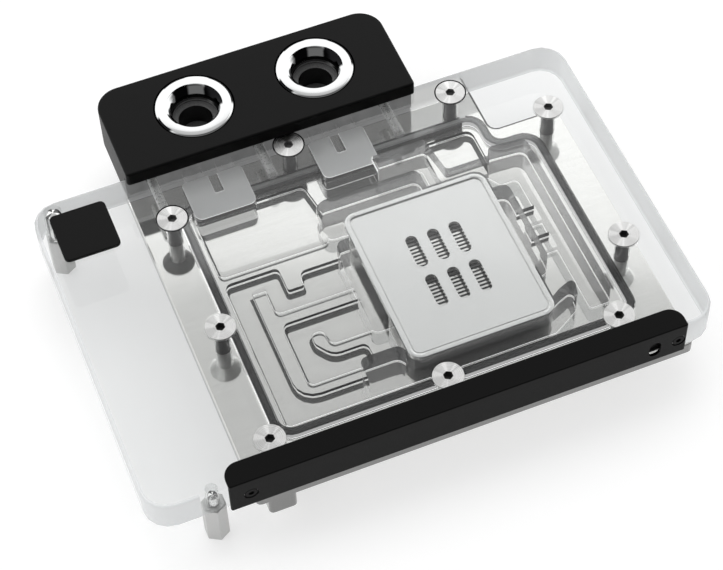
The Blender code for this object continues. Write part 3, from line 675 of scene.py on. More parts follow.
class Bench:
    """Modelling steps on one piece, done with operators as by hand."""

    @staticmethod
    def free() -> None:
        """Leave edit mode with nothing selected."""
        if bpy.context.mode != "OBJECT":
            bpy.ops.object.mode_set(mode="OBJECT")
        bpy.ops.object.select_all(action="DESELECT")

    @staticmethod
    def take(piece: Piece) -> None:
        """Make one piece the only one selected.

        Args:
            piece: Piece to work on.
        """
        Bench.free()
        piece.select_set(True)
        bpy.context.view_layer.objects.active = piece

    @staticmethod
    def settle(piece: Piece) -> Piece:
        """Put the piece's place, turn and scale into its mesh.

        Args:
            piece: Piece to work on.

        Returns:
            The same piece.
        """
        Bench.take(piece)
        bpy.ops.object.transform_apply(location=True, rotation=True, scale=True)
        return piece

    @staticmethod
    def block(name: str, low: Point, high: Point) -> Piece:
        """Add a block between two corners, in millimetres.

        Args:
            name: Name of the piece.
            low: Its lowest corner.
            high: Its highest corner.

        Returns:
            The piece, its place in its mesh.
        """
        Bench.free()
        start, end = at(*low), at(*high)
        bpy.ops.mesh.primitive_cube_add(size=1.0, location=(start + end) / 2.0)
        piece = bpy.context.active_object
        piece.name = name
        bpy.ops.transform.resize(value=tuple(end - start))
        return Bench.settle(piece)

    @staticmethod
    def turn(name: str, centre: Spot, profile: Profile, sides: int = 64,
             ring: bool = False) -> Piece:
        """Turn a piece from a circle by extruding it along a profile.

        Args:
            name: Name of the piece.
            centre: Its upright axis, in millimetres.
            profile: Radius and height pairs in millimetres, from one end to the other.
            sides: Number of sides of the circle.
            ring: True where the profile comes back to its start and leaves a bore.

        Returns:
            The piece, its place in its mesh.
        """
        Bench.free()
        (radius, level), *rest = profile
        bpy.ops.mesh.primitive_circle_add(vertices=sides, radius=radius * MM,
                                          fill_type="NOTHING" if ring else "NGON",
                                          location=at(*centre, level))
        piece = bpy.context.active_object
        piece.name = name
        bpy.ops.object.mode_set(mode="EDIT")
        bpy.ops.mesh.select_all(action="SELECT")
        for reach, height in rest:
            bpy.ops.mesh.extrude_region_move(
                TRANSFORM_OT_translate={"value": (0.0, 0.0, (height - level) * MM)})
            ratio = reach / radius
            bpy.ops.transform.resize(value=(ratio, ratio, 1.0), center_override=at(*centre, height))
            radius, level = reach, height
        bpy.ops.mesh.select_all(action="SELECT")
        bpy.ops.mesh.remove_doubles(threshold=0.002 * MM)
        bpy.ops.mesh.normals_make_consistent(inside=False)
        return Bench.settle(piece)

    @staticmethod
    def pick(piece: Piece, edges: bool, test: Callable[[list[Vector], Vector], bool]) -> int:
        """Enter edit mode and select edges or faces by a test.

        Args:
            piece: Piece to work on.
            edges: True for edges, False for faces.
            test: Takes the corners in millimetres and the normal (an edge's is its direction).

        Returns:
            How many were selected.
        """
        Bench.take(piece)
        bpy.ops.object.mode_set(mode="EDIT")
        bpy.ops.mesh.select_mode(type="EDGE" if edges else "FACE")
        bpy.ops.mesh.select_all(action="DESELECT")
        shape = bmesh.from_edit_mesh(piece.data)
        count = 0
        for item in shape.edges if edges else shape.faces:
            spots = [spot(vert.co) for vert in item.verts]
            way = (spots[1] - spots[0]).normalized() if edges else item.normal
            if test(spots, way):
                item.select_set(True)
                count += 1
        bmesh.update_edit_mesh(piece.data)
        return count

    @staticmethod
    def bevel(piece: Piece, width: float, segments: int,
              test: Callable[[list[Vector], Vector], bool]) -> None:
        """Round the edges that pass a test, by a width in millimetres.

        Args:
            piece: Piece to work on.
            width: Width of the rounding in millimetres.
            segments: Number of its facets.
            test: Says which edges, from their ends and their direction.
        """
        if Bench.pick(piece, True, test):
            bpy.ops.mesh.bevel(offset=width * MM, segments=segments, profile=0.5, affect="EDGES")
        Bench.free()

    @staticmethod
    def corners(piece: Piece, width: float, segments: int,
                test: Callable[[Vector], bool] = lambda place: True) -> None:
        """Round the upright edges at the places that pass a test."""
        Bench.bevel(piece, width, segments,
                    lambda spots, way: abs(way.z) > 0.99 and test(spots[0]))

    @staticmethod
    def rim(piece: Piece, level: float, width: float, segments: int) -> None:
        """Round the edges that lie at one level."""
        Bench.bevel(piece, width, segments,
                    lambda spots, way: all(abs(place.z - level) < 0.004 for place in spots))

    @staticmethod
    def cut(piece: Piece, tools: Iterable[Piece], operation: str = "DIFFERENCE") -> None:
        """Cut a piece with closed tools, and clear the tools away.

        Args:
            piece: Piece to work on.
            tools: Closed pieces, which are cleared away.
            operation: DIFFERENCE to cut, or UNION to join.
        """
        for tool in tools:
            step = piece.modifiers.new("cut", "BOOLEAN")
            step.operation = operation
            step.solver = "EXACT"
            step.object = tool
            Bench.take(piece)
            bpy.ops.object.modifier_apply(modifier=step.name)
            bpy.data.objects.remove(tool, do_unlink=True)

    @staticmethod
    def polish(piece: Piece, angle: float = 35.0) -> None:
        """Shade smoothly across edges flatter than an angle, and keep broad faces flat.

        Args:
            piece: Piece to work on.
            angle: Edges with a flatter angle than this, in degrees, are smooth.
        """
        Bench.take(piece)
        bpy.ops.object.shade_smooth_by_angle(angle=math.radians(angle))
        step = piece.modifiers.new("even", "WEIGHTED_NORMAL")
        step.keep_sharp = True
        step.weight = 80
        bpy.ops.object.modifier_apply(modifier=step.name)

    @staticmethod
    def copy(source: Piece, name: str, shift: Point = (0.0, 0.0, 0.0)) -> Piece:
        """Copy a piece with its own mesh, moved by millimetres.

        Args:
            source: Piece that is copied.
            name: Name of the piece.
            shift: Move in millimetres.

        Returns:
            The copy.
        """
        piece = source.copy()
        piece.data = source.data.copy()
        piece.name = name
        piece.animation_data_clear()
        piece.parent = None
        bpy.context.scene.collection.objects.link(piece)
        piece.data.transform(Matrix.Translation(Vector(shift) * MM))
        return piece

    @staticmethod
    def turning_map(piece: Piece, centre: Spot) -> None:
        """Lay a map round an upright axis: across is the angle, up is the radius.

        Args:
            piece: Piece to work on.
            centre: Upright axis, in millimetres.
        """
        middle = at(*centre, 0.0).xy
        layer = piece.data.uv_layers.new(name=TURNING_MAP)
        for polygon in piece.data.polygons:
            offset = polygon.center.xy - middle
            base = math.atan2(offset.y, offset.x)
            for index in polygon.loop_indices:
                place = piece.data.vertices[piece.data.loops[index].vertex_index].co
                offset = place.xy - middle
                turn = math.atan2(offset.y, offset.x) - base
                turn = (turn + math.pi) % FULL_TURN - math.pi
                reach = offset.length + abs(place.z - at(0.0, 0.0, 0.0).z)
                layer.data[index].uv = ((base + turn) / FULL_TURN, reach / (MAP_UNIT * MM))

    @staticmethod
    def hand_in(piece: Piece, slot: Slot, nodes: Sequence[str], materials: Sequence[Material],
                choose: Optional[Callable[[Vector, Vector, float], int]] = None) -> None:
        """Dress a finished piece and put it in the place of its nodes.

        Args:
            piece: The piece.
            slot: Its material slot in the record.
            nodes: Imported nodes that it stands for.
            materials: Its finishes.
            choose: Names a face's finish from its middle, its normal and its highest level.
        """
        Bench.free()
        mesh = piece.data
        mesh.materials.clear()
        for material in materials:
            mesh.materials.append(material)
        for polygon in mesh.polygons if choose else ():
            top = max(spot(mesh.vertices[index].co).z for index in polygon.vertices)
            polygon.material_index = choose(spot(polygon.center), polygon.normal, top)
        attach(piece, "root")
        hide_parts(*nodes)
        LOG.info("built %s in place of %s", piece.name, ", ".join(nodes))


@dataclass
class Sheet:
    """Clear cover with its milled channels.

    Its zones follow where a wall lies, so the levels and places below are those of the solids.
    """

    length: float = 154.1
    width: float = 100.5
    # Reach of the outer edge with its chamfer, and of the sheet's rounded corners.
    inset: float = 0.9
    corner: float = 5.5
    # Levels: foot of the upper chamfer, the seal groove's ceiling, and the shallow walls' tops.
    top: float = -0.85
    groove_top: float = -8.3
    low_top: float = -7.9
    rounding: float = 0.2
    # Middle and reach of the wing's pin hole, and a clear stretch of the front edge.
    pin: tuple[float, float, float] = (5.9, 97.0, 2.7)
    window: Spot = (13.2, 20.8)
    # The terminal's stretch of the rear edge, its studs, and the port chambers in the sheet.
    rear: Spot = (27.15, 110.5)
    studs: tuple[float, ...] = (34.3, 65.2, 102.2)
    stud_level: float = -3.9
    stud_reach: float = 14.0
    stud_room: float = 1.9
    chambers: tuple[Spot, ...] = ((41.0, 59.0), (77.6, 94.6))
    chamber_front: float = 82.0
    ways_reach: float = 4.4
    ceiling: Spot = (-5.6, -4.4)
    # Screws, the reach of their countersinks, and the ones that the terminal shades.
    screws: tuple[Spot, ...] = (
        (71.95, 94.3), (119.6, 94.25), (142.25, 79.0), (34.65, 82.8), (34.7, 45.2),
        (34.75, 9.15), (82.5, 9.15), (129.95, 9.2), (142.27, 31.9))
    head_room: float = 4.7
    head_level: float = -2.0
    shaded_from: float = 77.0
    shaded_to_x: float = 130.0
    # Walls nearer than this to the front and the rear edge stay clear.
    margins: Spot = (5.0, 4.6)

    def zone(self, place: Vector, normal: Vector, top: float) -> Zone:
        """Say which zone a face of the sheet belongs to.

        Args:
            place: Middle of the face in millimetres.
            normal: The face's normal.
            top: Level of its highest corner.

        Returns:
            The face's zone.
        """
        slope, behind = abs(normal.z), self.width - place.y
        outer = Zone.EDGE if slope < 0.9 else Zone.POLISHED
        if place.y < self.inset and self.window[0] < place.x < self.window[1]:
            return Zone.POLISHED
        if min(place.x, self.length - place.x) < self.corner and min(place.y, behind) < self.corner:
            pinned = math.hypot(place.x - self.pin[0], place.y - self.pin[1]) < self.pin[2]
            return Zone.POLISHED if pinned else outer
        if behind < self.stud_reach and any(
                math.hypot(place.x - x, place.z - self.stud_level) < self.stud_room
                for x in self.studs):
            return Zone.STUD_BORE
        # Painted shade and glow: the terminal's stretch of the rear edge.
        if behind < 0.1 and self.rear[0] < place.x < self.rear[1]:
            return Zone.REAR
        if min(place.x, self.length - place.x, place.y) <= self.inset or behind < self.inset:
            return outer
        chamber = place.y > self.chamber_front and any(
            low < place.x < high for low, high in self.chambers)
        # The ways into the chambers take the same painted shade and glow.
        if chamber and behind < self.ways_reach:
            return Zone.REAR
        rounding = slope < 0.97 and abs(place.z - self.groove_top) < self.rounding
        if slope > 0.85 and not rounding:
            low, high = self.ceiling
            return Zone.CEILING if chamber and low < place.z < high else Zone.POLISHED
        near = any(math.hypot(place.x - x, place.y - y) < self.head_room for x, y in self.screws)
        shaded = place.y > self.shaded_from and place.x < self.shaded_to_x
        # Painted shade: the countersink gap beside the terminal.
        if near and shaded and place.z > self.head_level:
            return Zone.GAP
        if near or place.z > self.top or place.y < self.margins[0] or behind < self.margins[1]:
            return Zone.POLISHED
        if chamber:
            return Zone.CHAMBER_WALL
        if abs(top - self.groove_top) < 0.015:
            return Zone.GROOVE_WALL
        return Zone.LOW_WALL if top < self.low_top else Zone.DEEP_WALL

    def split(self, piece: Piece, x: float, test: Callable[[list[Vector], Vector], bool]) -> None:
        """Split the faces that pass a test at an X, so that their zones can differ.

        Args:
            piece: Piece to work on.
            x: Place of the split, in millimetres.
            test: Says which faces, from their corners and their normal.
        """
        Bench.pick(piece, False, test)
        bpy.ops.mesh.bisect(plane_co=at(x, 0.0, 0.0), plane_no=(1.0, 0.0, 0.0))
        Bench.free()

    def build(self, frame: dict[str, Any], finishes: Finishes) -> None:
        """Take the milled sheet over from the frame, merge it, round its shading and dress it.

        Args:
            frame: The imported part, as it was loaded.
            finishes: The block's finishes.
        """
        piece = Bench.copy(frame["nodes"]["acrylic_cover"], "clear_sheet")
        Bench.take(piece)
        bpy.ops.mesh.customdata_custom_splitnormals_clear()
        bpy.ops.object.mode_set(mode="EDIT")
        bpy.ops.mesh.select_all(action="SELECT")
        bpy.ops.mesh.remove_doubles(threshold=0.001 * MM)
        bpy.ops.mesh.dissolve_limited(angle_limit=math.radians(0.5))
        Bench.free()
        for x in self.rear:
            self.split(piece, x, lambda spots, way: abs(way.y) > 0.99 and all(
                place.y > self.width - 0.05 for place in spots))
        for x in self.window:
            self.split(piece, x, lambda spots, way: way.y < -0.6 and all(
                place.y < self.inset for place in spots))
        Bench.polish(piece, 50.0)
        Bench.hand_in(piece, Slot.CLEAR, ["acrylic_cover"], finishes.zones, self.zone)


@dataclass
class JetPlate:
    """Silver plate with a raised rim and six oblong jets."""

    low: Point = (76.75, 18.65, -5.0)
    high: Point = (117.65, 68.45, -3.7)
    corner: float = 3.6
    rim: float = 1.35
    step: float = 0.3
    groove: float = 0.4
    groove_width: float = 0.26
    slope: float = 0.06
    rim_edge: float = 0.14
    field_edge: float = 0.07
    slot_width: float = 3.2
    slot_length: float = 10.5
    slot_x: tuple[float, ...] = (91.2, 97.4, 103.6)
    slot_y: tuple[float, ...] = (36.9, 50.4)

    def jet(self, x: float, y: float) -> Piece:
        """Make the cutter of one oblong jet.

        Args:
            x: Middle across.
            y: Middle in depth.

        Returns:
            The cutter.
        """
        half, reach = self.slot_width / 2.0, self.slot_length / 2.0
        tool = Bench.block("jet", (x - half, y - reach, self.low[2] - 1.0),
                           (x + half, y + reach, self.high[2] + 1.0))
        Bench.corners(tool, half - 0.01, 8)
        return tool

    def build(self, finishes: Finishes) -> None:
        """Round a block, sink a groove and the field inside the rim, and cut the jets.

        Args:
            finishes: The block's finishes.
        """
        piece = Bench.block("jet_sheet", self.low, self.high)
        Bench.corners(piece, self.corner, 10)
        Bench.pick(piece, False, lambda spots, way: way.z > 0.99)
        for thickness, depth in ((self.rim, 0.0), (self.slope, -(self.step + self.groove)),
                                 (self.groove_width, 0.0), (self.slope, self.groove)):
            bpy.ops.mesh.inset(thickness=thickness * MM, depth=depth * MM)
        Bench.free()
        Bench.rim(piece, self.high[2], self.rim_edge, 3)
        Bench.rim(piece, self.high[2] - self.step, self.field_edge, 2)
        Bench.cut(piece, [self.jet(x, y) for x in self.slot_x for y in self.slot_y])
        Bench.polish(piece)
        Bench.hand_in(piece, Slot.SATIN_STEEL, ["jet_plate"], [finishes.by_slot[Slot.SATIN_STEEL]])


@dataclass
class PortRing:
    """Chromed ring round one hose port, threaded inside."""

    outer: float = 10.9
    bore: float = 6.7
    low: float = 1.3
    top: float = 4.6
    pitch: float = 0.66
    depth: float = 0.26
    # Corners of its bevels: how far in from the outer edge or out from the bore, and how far down.
    shoulder: Profile = ((0.0, 0.75), (0.12, 0.42), (0.36, 0.16), (0.72, 0.0))
    mouth: Profile = ((1.12, 0.0), (0.92, 0.06), (0.42, 0.5), (0.0, 0.95))

    def profile(self) -> list[Spot]:
        """Give the section from the bore's lower end round to its start again.

        Returns:
            Radius and height pairs.
        """
        line = [(self.bore, self.low), (self.outer, self.low)]
        line += [(self.outer - reach, self.top - down) for reach, down in self.shoulder]
        line += [(self.bore + reach, self.top - down) for reach, down in self.mouth]
        line += thread_turns(line[-1][1], self.low, -self.pitch,
                             ((self.bore + self.depth, 0.5), (self.bore, 1.0)))
        return [*line, (self.bore, self.low)]

    def build(self, centre: Spot, side: str, finishes: Finishes) -> None:
        """Turn the ring at its port.

        Args:
            centre: Upright axis, in millimetres.
            side: Side of the port, left or right.
            finishes: The block's finishes.
        """
        piece = Bench.turn(f"ring_{side}", centre, self.profile(), 96, ring=True)
        Bench.polish(piece, 28.0)
        Bench.turning_map(piece, centre)
        Bench.hand_in(piece, Slot.CHROME, [f"port_ring_{side}"], [finishes.by_slot[Slot.CHROME]])


@dataclass
class TerminalStud:
    """Threaded stud that lies along Y and holds the terminal on the sheet."""

    start: float = 89.0
    end: float = 110.0
    level: float = -3.9
    radius: float = 1.3
    pitch: float = 0.6
    thread: float = 0.2
    tip: float = 0.3

    def build(self, index: int, x: float, finishes: Finishes) -> None:
        """Turn the stud upright, then lay its mesh down along Y.

        Args:
            index: Number of the stud, from the left.
            x: Its place across the sheet, in millimetres.
            finishes: The block's finishes.
        """
        reach = self.end - self.start
        turns = thread_turns(self.tip, reach, self.pitch, (
            (self.radius - self.thread, 0.5), (self.radius, 1.0)))
        line = [(self.radius - 0.35, 0.0), (self.radius, self.tip), *turns, (self.radius, reach)]
        piece = Bench.turn(f"stud_{index}", (0.0, 0.0), line, 32)
        piece.data.transform(Matrix.Translation(at(x, self.start, self.level))
                             @ Matrix.Rotation(-math.pi / 2.0, 4, "X")
                             @ Matrix.Translation(-at(0.0, 0.0, 0.0)))
        Bench.polish(piece, 30.0)
        Bench.hand_in(piece, Slot.STEEL, [f"terminal_stud_{index}"], [finishes.stud])


@dataclass
class Terminal:
    """Black hose terminal hung over the cover's rear edge, with its two ports."""

    low: Point = (27.15, 97.5, -10.0)
    high: Point = (110.5, 128.3, 4.32)
    corner: float = 7.0
    front_corner: float = 1.0
    top_edge: float = 0.6
    low_edge: float = 0.3
    # Block that is cut away below the lip, where the terminal lies on the sheet.
    lip_low: Point = (20.0, 95.0, -12.0)
    lip_high: Point = (120.0, 100.75, 0.2)
    ports: Spot = (51.97, 87.18)
    port_y: float = 113.55
    # Levels in a port: neck's foot, shoulder, thread's end, bore's end, ring's seat, open top.
    neck_foot: float = -7.7
    shoulder: float = -0.9
    thread_end: float = 0.6
    bore_end: float = 1.0
    seat_foot: float = 1.1
    open_top: float = 6.0
    seat: float = 11.15
    bore: float = 6.3
    neck: float = 4.7
    chamfer: float = 0.25
    pitch: float = 0.66
    thread: float = 0.3
    ways: tuple[Spot, ...] = ((42.9, 57.1), (79.5, 92.7))
    way_levels: Spot = (-7.4, -5.2)
    way_front: float = 99.0
    # Reach of the bored finish past the bore's wall, and its lowest level.
    bored_reach: float = 0.4
    bored_foot: float = -9.0

    def well(self, x: float) -> Piece:
        """Make the cutter of a port: the ring's seat, a threaded bore and a neck.

        Args:
            x: Its place across the sheet, in millimetres.

        Returns:
            The cutter.
        """
        turns = thread_turns(self.shoulder + 0.2, self.thread_end + self.pitch, self.pitch,
                             ((self.bore, 0.0), (self.bore + self.thread, 0.5)))
        line = [(self.neck, self.neck_foot), (self.neck, self.shoulder - self.chamfer),
                (self.neck + self.chamfer, self.shoulder), (self.bore, self.shoulder), *turns,
                (self.bore, self.bore_end), (self.seat, self.seat_foot), (self.seat, self.open_top)]
        return Bench.turn("well", (x, self.port_y), line, 96)

    def finish(self, place: Vector, normal: Vector, _top: float) -> int:
        """Say which finish a face takes: outside, bored wall, or the bore's flat shoulder, whose paler
        grey is painted light.

        Args:
            place: Middle of the face in millimetres.
            normal: The face's normal.
            _top: Level of its highest corner; not used.

        Returns:
            Index of the finish.
        """
        reach = min(math.hypot(place.x - x, place.y - self.port_y) for x in self.ports)
        if reach < self.bore + self.bored_reach and place.z > self.bored_foot:
            # Painted light: faces that look up in the bore take the paler grey.
            return 2 if normal.z > 0.6 and place.z < 0.0 else 1
        return 0

    def build(self, finishes: Finishes) -> None:
        """Round a block, cut the lip, the ports and the way in, and soften its edges.

        Args:
            finishes: The block's finishes.
        """
        piece = Bench.block("hose_terminal", self.low, self.high)
        Bench.corners(piece, self.corner, 16, lambda place: place.y > self.port_y)
        Bench.corners(piece, self.front_corner, 5, lambda place: place.y < self.port_y)
        Bench.rim(piece, self.high[2], self.top_edge, 4)
        Bench.rim(piece, self.low[2], self.low_edge, 2)
        Bench.cut(piece, [Bench.block("lip", self.lip_low, self.lip_high)])
        Bench.cut(piece, [self.well(x) for x in self.ports])
        floor, ceiling = self.way_levels
        Bench.cut(piece, [Bench.block("way", (start, self.way_front, floor), (end, self.port_y, ceiling))
                          for start, end in self.ways])
        Bench.polish(piece, 30.0)
        Bench.hand_in(piece, Slot.BLACK, ["terminal_body"], [
            finishes.by_slot[Slot.BLACK], finishes.bored, finishes.shoulder], self.finish)
        for x, side in zip(self.ports, ("left", "right")):
            PortRing().build((x, self.port_y), side, finishes)


@dataclass
class CoverScrew:
    """Countersunk screw of the cover: turned head, hexagonal socket, cut thread."""

    head: float = 4.1
    top: float = -0.05
    edge: float = 0.25
    shank: float = 1.85
    end: float = -12.9
    point: float = 1.35
    tip: float = 0.35
    cut: float = 0.25
    run_out: float = 0.5
    neck: float = 0.2
    lead: float = 0.08
    # Radii of the rings that the lathe leaves on the head.
    faced: tuple[float, ...] = (3.5, 3.0, 2.5, 2.0, 1.62)
    socket: float = 1.34
    depth: float = 1.5
    pitch: float = 0.7

    @property
    def under(self) -> float:
        """Level at which the countersunk head meets the shank."""
        return self.top - self.edge - (self.head - self.shank)

    def profile(self) -> list[Spot]:
        """Give the section from the shank's tip to the head's middle.

        Returns:
            Radius and height pairs.
        """
        root, start = self.shank - self.cut, self.end + self.tip
        turns = thread_turns(start, self.under - self.run_out, self.pitch,
                             ((self.shank, 0.45), (self.shank, 0.6), (root, 1.0)))
        rings = [(radius, self.top) for radius in self.faced]
        foot, soft = self.top - self.edge, self.lead / 2.0
        return [
            (self.point, self.end), (root, start), *turns, (self.shank, self.under - self.neck),
            (self.shank, self.under), (self.head - soft, foot - soft), (self.head, foot),
            (self.head, self.top - self.lead), (self.head - self.lead, self.top), *rings]

    def dark_thread_or_socket(self, reach: float, level: float) -> int:
        """Say whether a face at a reach from the axis takes the black finish: the thread, and the hex
        socket, where the black is painted shade.

        Args:
            reach: Distance from the axis.
            level: Height of the face.

        Returns:
            One where the face takes the black finish, otherwise zero.
        """
        thread = reach < self.shank + 0.1 and level < self.under - 0.1
        # Painted shade: the hex socket's recess takes the black.
        socket = reach < self.socket and -self.depth - 0.05 < level < self.top - 0.02
        return 1 if thread or socket else 0

    def build(self, centres: Sequence[Spot], finishes: Finishes) -> None:
        """Turn one screw, broach its socket, map it, and copy it to every place.

        Args:
            centres: Upright axes of the screws, in millimetres.
            finishes: The block's finishes.
        """
        first = centres[0]
        piece = Bench.turn("screw_1", first, self.profile(), 64)
        key = Bench.turn("key", first, [(self.socket, -self.depth), (self.socket, 1.0)], 6)
        Bench.cut(piece, [key])
        Bench.polish(piece, 32.0)
        Bench.turning_map(piece, first)
        screws = [piece] + [
            Bench.copy(piece, f"screw_{index}", (x - first[0], y - first[1], 0.0))
            for index, (x, y) in enumerate(centres[1:], start=2)]
        for index, (screw, (x, y)) in enumerate(zip(screws, centres), start=1):
            Bench.hand_in(
                screw, Slot.STEEL, [f"cover_screw_{index}"],
                [finishes.by_slot[Slot.STEEL], finishes.dark_thread_and_socket_shade],
                lambda place, _normal, _top: self.dark_thread_or_socket(
                    math.hypot(place.x - x, place.y - y), place.z))


@dataclass
class Standoff:
    """Hexagonal standoff with a threaded stud that ends in a dome."""

    across: float = 5.75
    foot: float = -24.5
    bevel: Spot = (0.45, 0.3)
    pitch: float = 0.5
    thread: float = 0.18
    # Height of the dome as a share of the stud's radius; thicker studs than this are plain pins.
    dome: float = 0.65
    plain_from: float = 2.0

    def stud(self, centre: Spot, seat: float, core: float, tip: float) -> Piece:
        """Turn the stud: a thread from the seat up, and the domed end.

        Args:
            centre: Upright axis, in millimetres.
            seat: Level of the shoulder.
            core: Radius of the stud.
            tip: Level of its end.

        Returns:
            The stud.
        """
        dome = self.dome * core
        stop = tip - dome - 0.2 if core < self.plain_from else seat
        section = ((core - self.thread, 0.2), (core, 0.5))
        turns = thread_turns(seat, stop, self.pitch, section)
        level = seat + self.pitch * (len(turns) // len(section))
        steps = [math.radians(15.0 * step) for step in range(6)]
        end = [(core * math.cos(turn), tip - dome + dome * math.sin(turn)) for turn in steps]
        line = [(core - 0.1, seat - 0.4), *turns, (core, level + 0.1), *end, (core * 0.1, tip)]
        return Bench.turn("stud", centre, line, 40)

    def build(self, name: str, node: str, centre: Spot, seat: float, core: float, tip: float,
              finishes: Finishes) -> None:
        """Turn the hexagon and the stud, and join them.

        Args:
            name: Name of the piece.
            node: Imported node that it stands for.
            centre: Its upright axis, in millimetres.
            seat: Level of its shoulder.
            core: Radius of its stud.
            tip: Level of the stud's end.
            finishes: The block's finishes.
        """
        corner = self.across / math.sqrt(3.0)
        inward, rise = self.bevel
        body = Bench.turn(name, centre, [
            (corner - inward, self.foot), (corner, self.foot + rise), (corner, seat - rise),
            (corner - inward, seat)], 6)
        Bench.corners(body, 0.12, 2)
        Bench.cut(body, [self.stud(centre, seat, core, tip)], "UNION")
        Bench.polish(body, 32.0)
        Bench.turning_map(body, centre)
        Bench.hand_in(body, Slot.STEEL, [node], [finishes.post, finishes.tip],
                      lambda place, _normal, _top: 1 if place.z > seat + 0.05 else 0)


@dataclass
class SideRail:
    """Black angled rail along the front edge, with a cable slot and two sunk screws."""

    low: Point = (20.4, -1.0, -10.0)
    high: Point = (144.5, 5.6, 1.05)
    wall: float = 0.8
    corner: float = 4.0
    front_corner: float = 0.5
    edge: float = 0.3
    # Block that hollows the angle, apart from its wall.
    inside_x: Spot = (10.0, 160.0)
    inside_rear: float = 9.0
    inside_foot: float = -12.0
    slot_x: Spot = (133.9, 137.1)
    slot_y: Spot = (-3.0, 0.5)
    slot_z: Spot = (-8.0, -2.4)
    screws: Spot = (25.9, 142.2)
    screw_z: float = -5.0
    # Radius, and front and rear end, of the screws' holes, heads, keys and stems.
    hole: float = 1.95
    hole_y: Spot = (-3.0, 1.0)
    head: float = 1.7
    head_y: Spot = (-0.9, -0.3)
    head_edge: float = 0.2
    key: float = 0.8
    key_y: Spot = (-2.0, -0.5)
    stem: float = 0.95
    stem_y: Spot = (-0.35, 5.8)

    def lying(self, name: str, x: float, radius: float, ends: Spot, sides: int) -> Piece:
        """Make a round bar that lies along Y between two ends, at the screws' level.

        Args:
            name: Name of the piece.
            x: Its place across the sheet, in millimetres.
            radius: Its radius in millimetres.
            ends: Its front and rear end.
            sides: Number of its sides.

        Returns:
            The bar.
        """
        Bench.free()
        start, end = ends
        bpy.ops.mesh.primitive_cylinder_add(
            vertices=sides, radius=radius * MM, depth=(end - start) * MM,
            location=at(x, (start + end) / 2.0, self.screw_z), rotation=(math.pi / 2.0, 0.0, 0.0))
        piece = bpy.context.active_object
        piece.name = name
        return Bench.settle(piece)

    def cable_slot(self) -> Piece:
        """Make the cutter of the upright cable slot.

        Returns:
            The cutter.
        """
        (x0, x1), (y0, y1), (z0, z1) = self.slot_x, self.slot_y, self.slot_z
        tool = Bench.block("slot", (x0, y0, z0), (x1, y1, z1))
        Bench.bevel(tool, (x1 - x0) / 2.0 - 0.02, 8, lambda spots, way: abs(way.y) > 0.99)
        return tool

    def build(self, finishes: Finishes) -> None:
        """Hollow a block to an angle, cut it, and set its screws.

        Args:
            finishes: The block's finishes.
        """
        black = [finishes.by_slot[Slot.ANODISED]]
        piece = Bench.block("front_rail", self.low, self.high)
        left, right = self.inside_x
        Bench.corners(piece, self.corner, 12, lambda place: place.y > 0.0)
        Bench.corners(piece, self.front_corner, 4, lambda place: place.y < 0.0)
        Bench.rim(piece, self.high[2], self.edge, 4)
        Bench.cut(piece, [Bench.block("inside", (left, self.low[1] + self.wall, self.inside_foot),
                                      (right, self.inside_rear, self.high[2] - self.wall))])
        Bench.cut(piece, [self.cable_slot()])
        Bench.cut(piece, [self.lying("hole", x, self.hole, self.hole_y, 48) for x in self.screws])
        Bench.polish(piece, 30.0)
        Bench.hand_in(piece, Slot.ANODISED, ["side_rail"], black)
        for index, x in enumerate(self.screws, start=1):
            screw = self.lying(f"small_screw_{index}", x, self.head, self.head_y, 40)
            Bench.bevel(screw, self.head_edge, 3, lambda spots, way: all(
                place.y < self.head_y[0] + 0.01 for place in spots))
            Bench.cut(screw, [self.lying("key", x, self.key, self.key_y, 6)])
            Bench.cut(screw, [self.lying("stem", x, self.stem, self.stem_y, 24)], "UNION")
            Bench.polish(screw, 30.0)
            Bench.hand_in(screw, Slot.ANODISED, [f"rail_screw_{index}"], black)


@dataclass
class Badge:
    """Bare black plate on the cover's wing."""

    low: Point = (4.2, 79.3, 0.2)
    high: Point = (19.6, 95.0, 1.1)
    corner: float = 1.5
    edge: float = 0.18

    def build(self, finishes: Finishes) -> None:
        """Round a small plate and soften its upper edge.

        Args:
            finishes: The block's finishes.
        """
        piece = Bench.block("bare_badge", self.low, self.high)
        Bench.corners(piece, self.corner, 8)
        Bench.rim(piece, self.high[2], self.edge, 3)
        Bench.polish(piece)
        Bench.hand_in(piece, Slot.BLACK, ["badge_plate"], [finishes.by_slot[Slot.BLACK]])


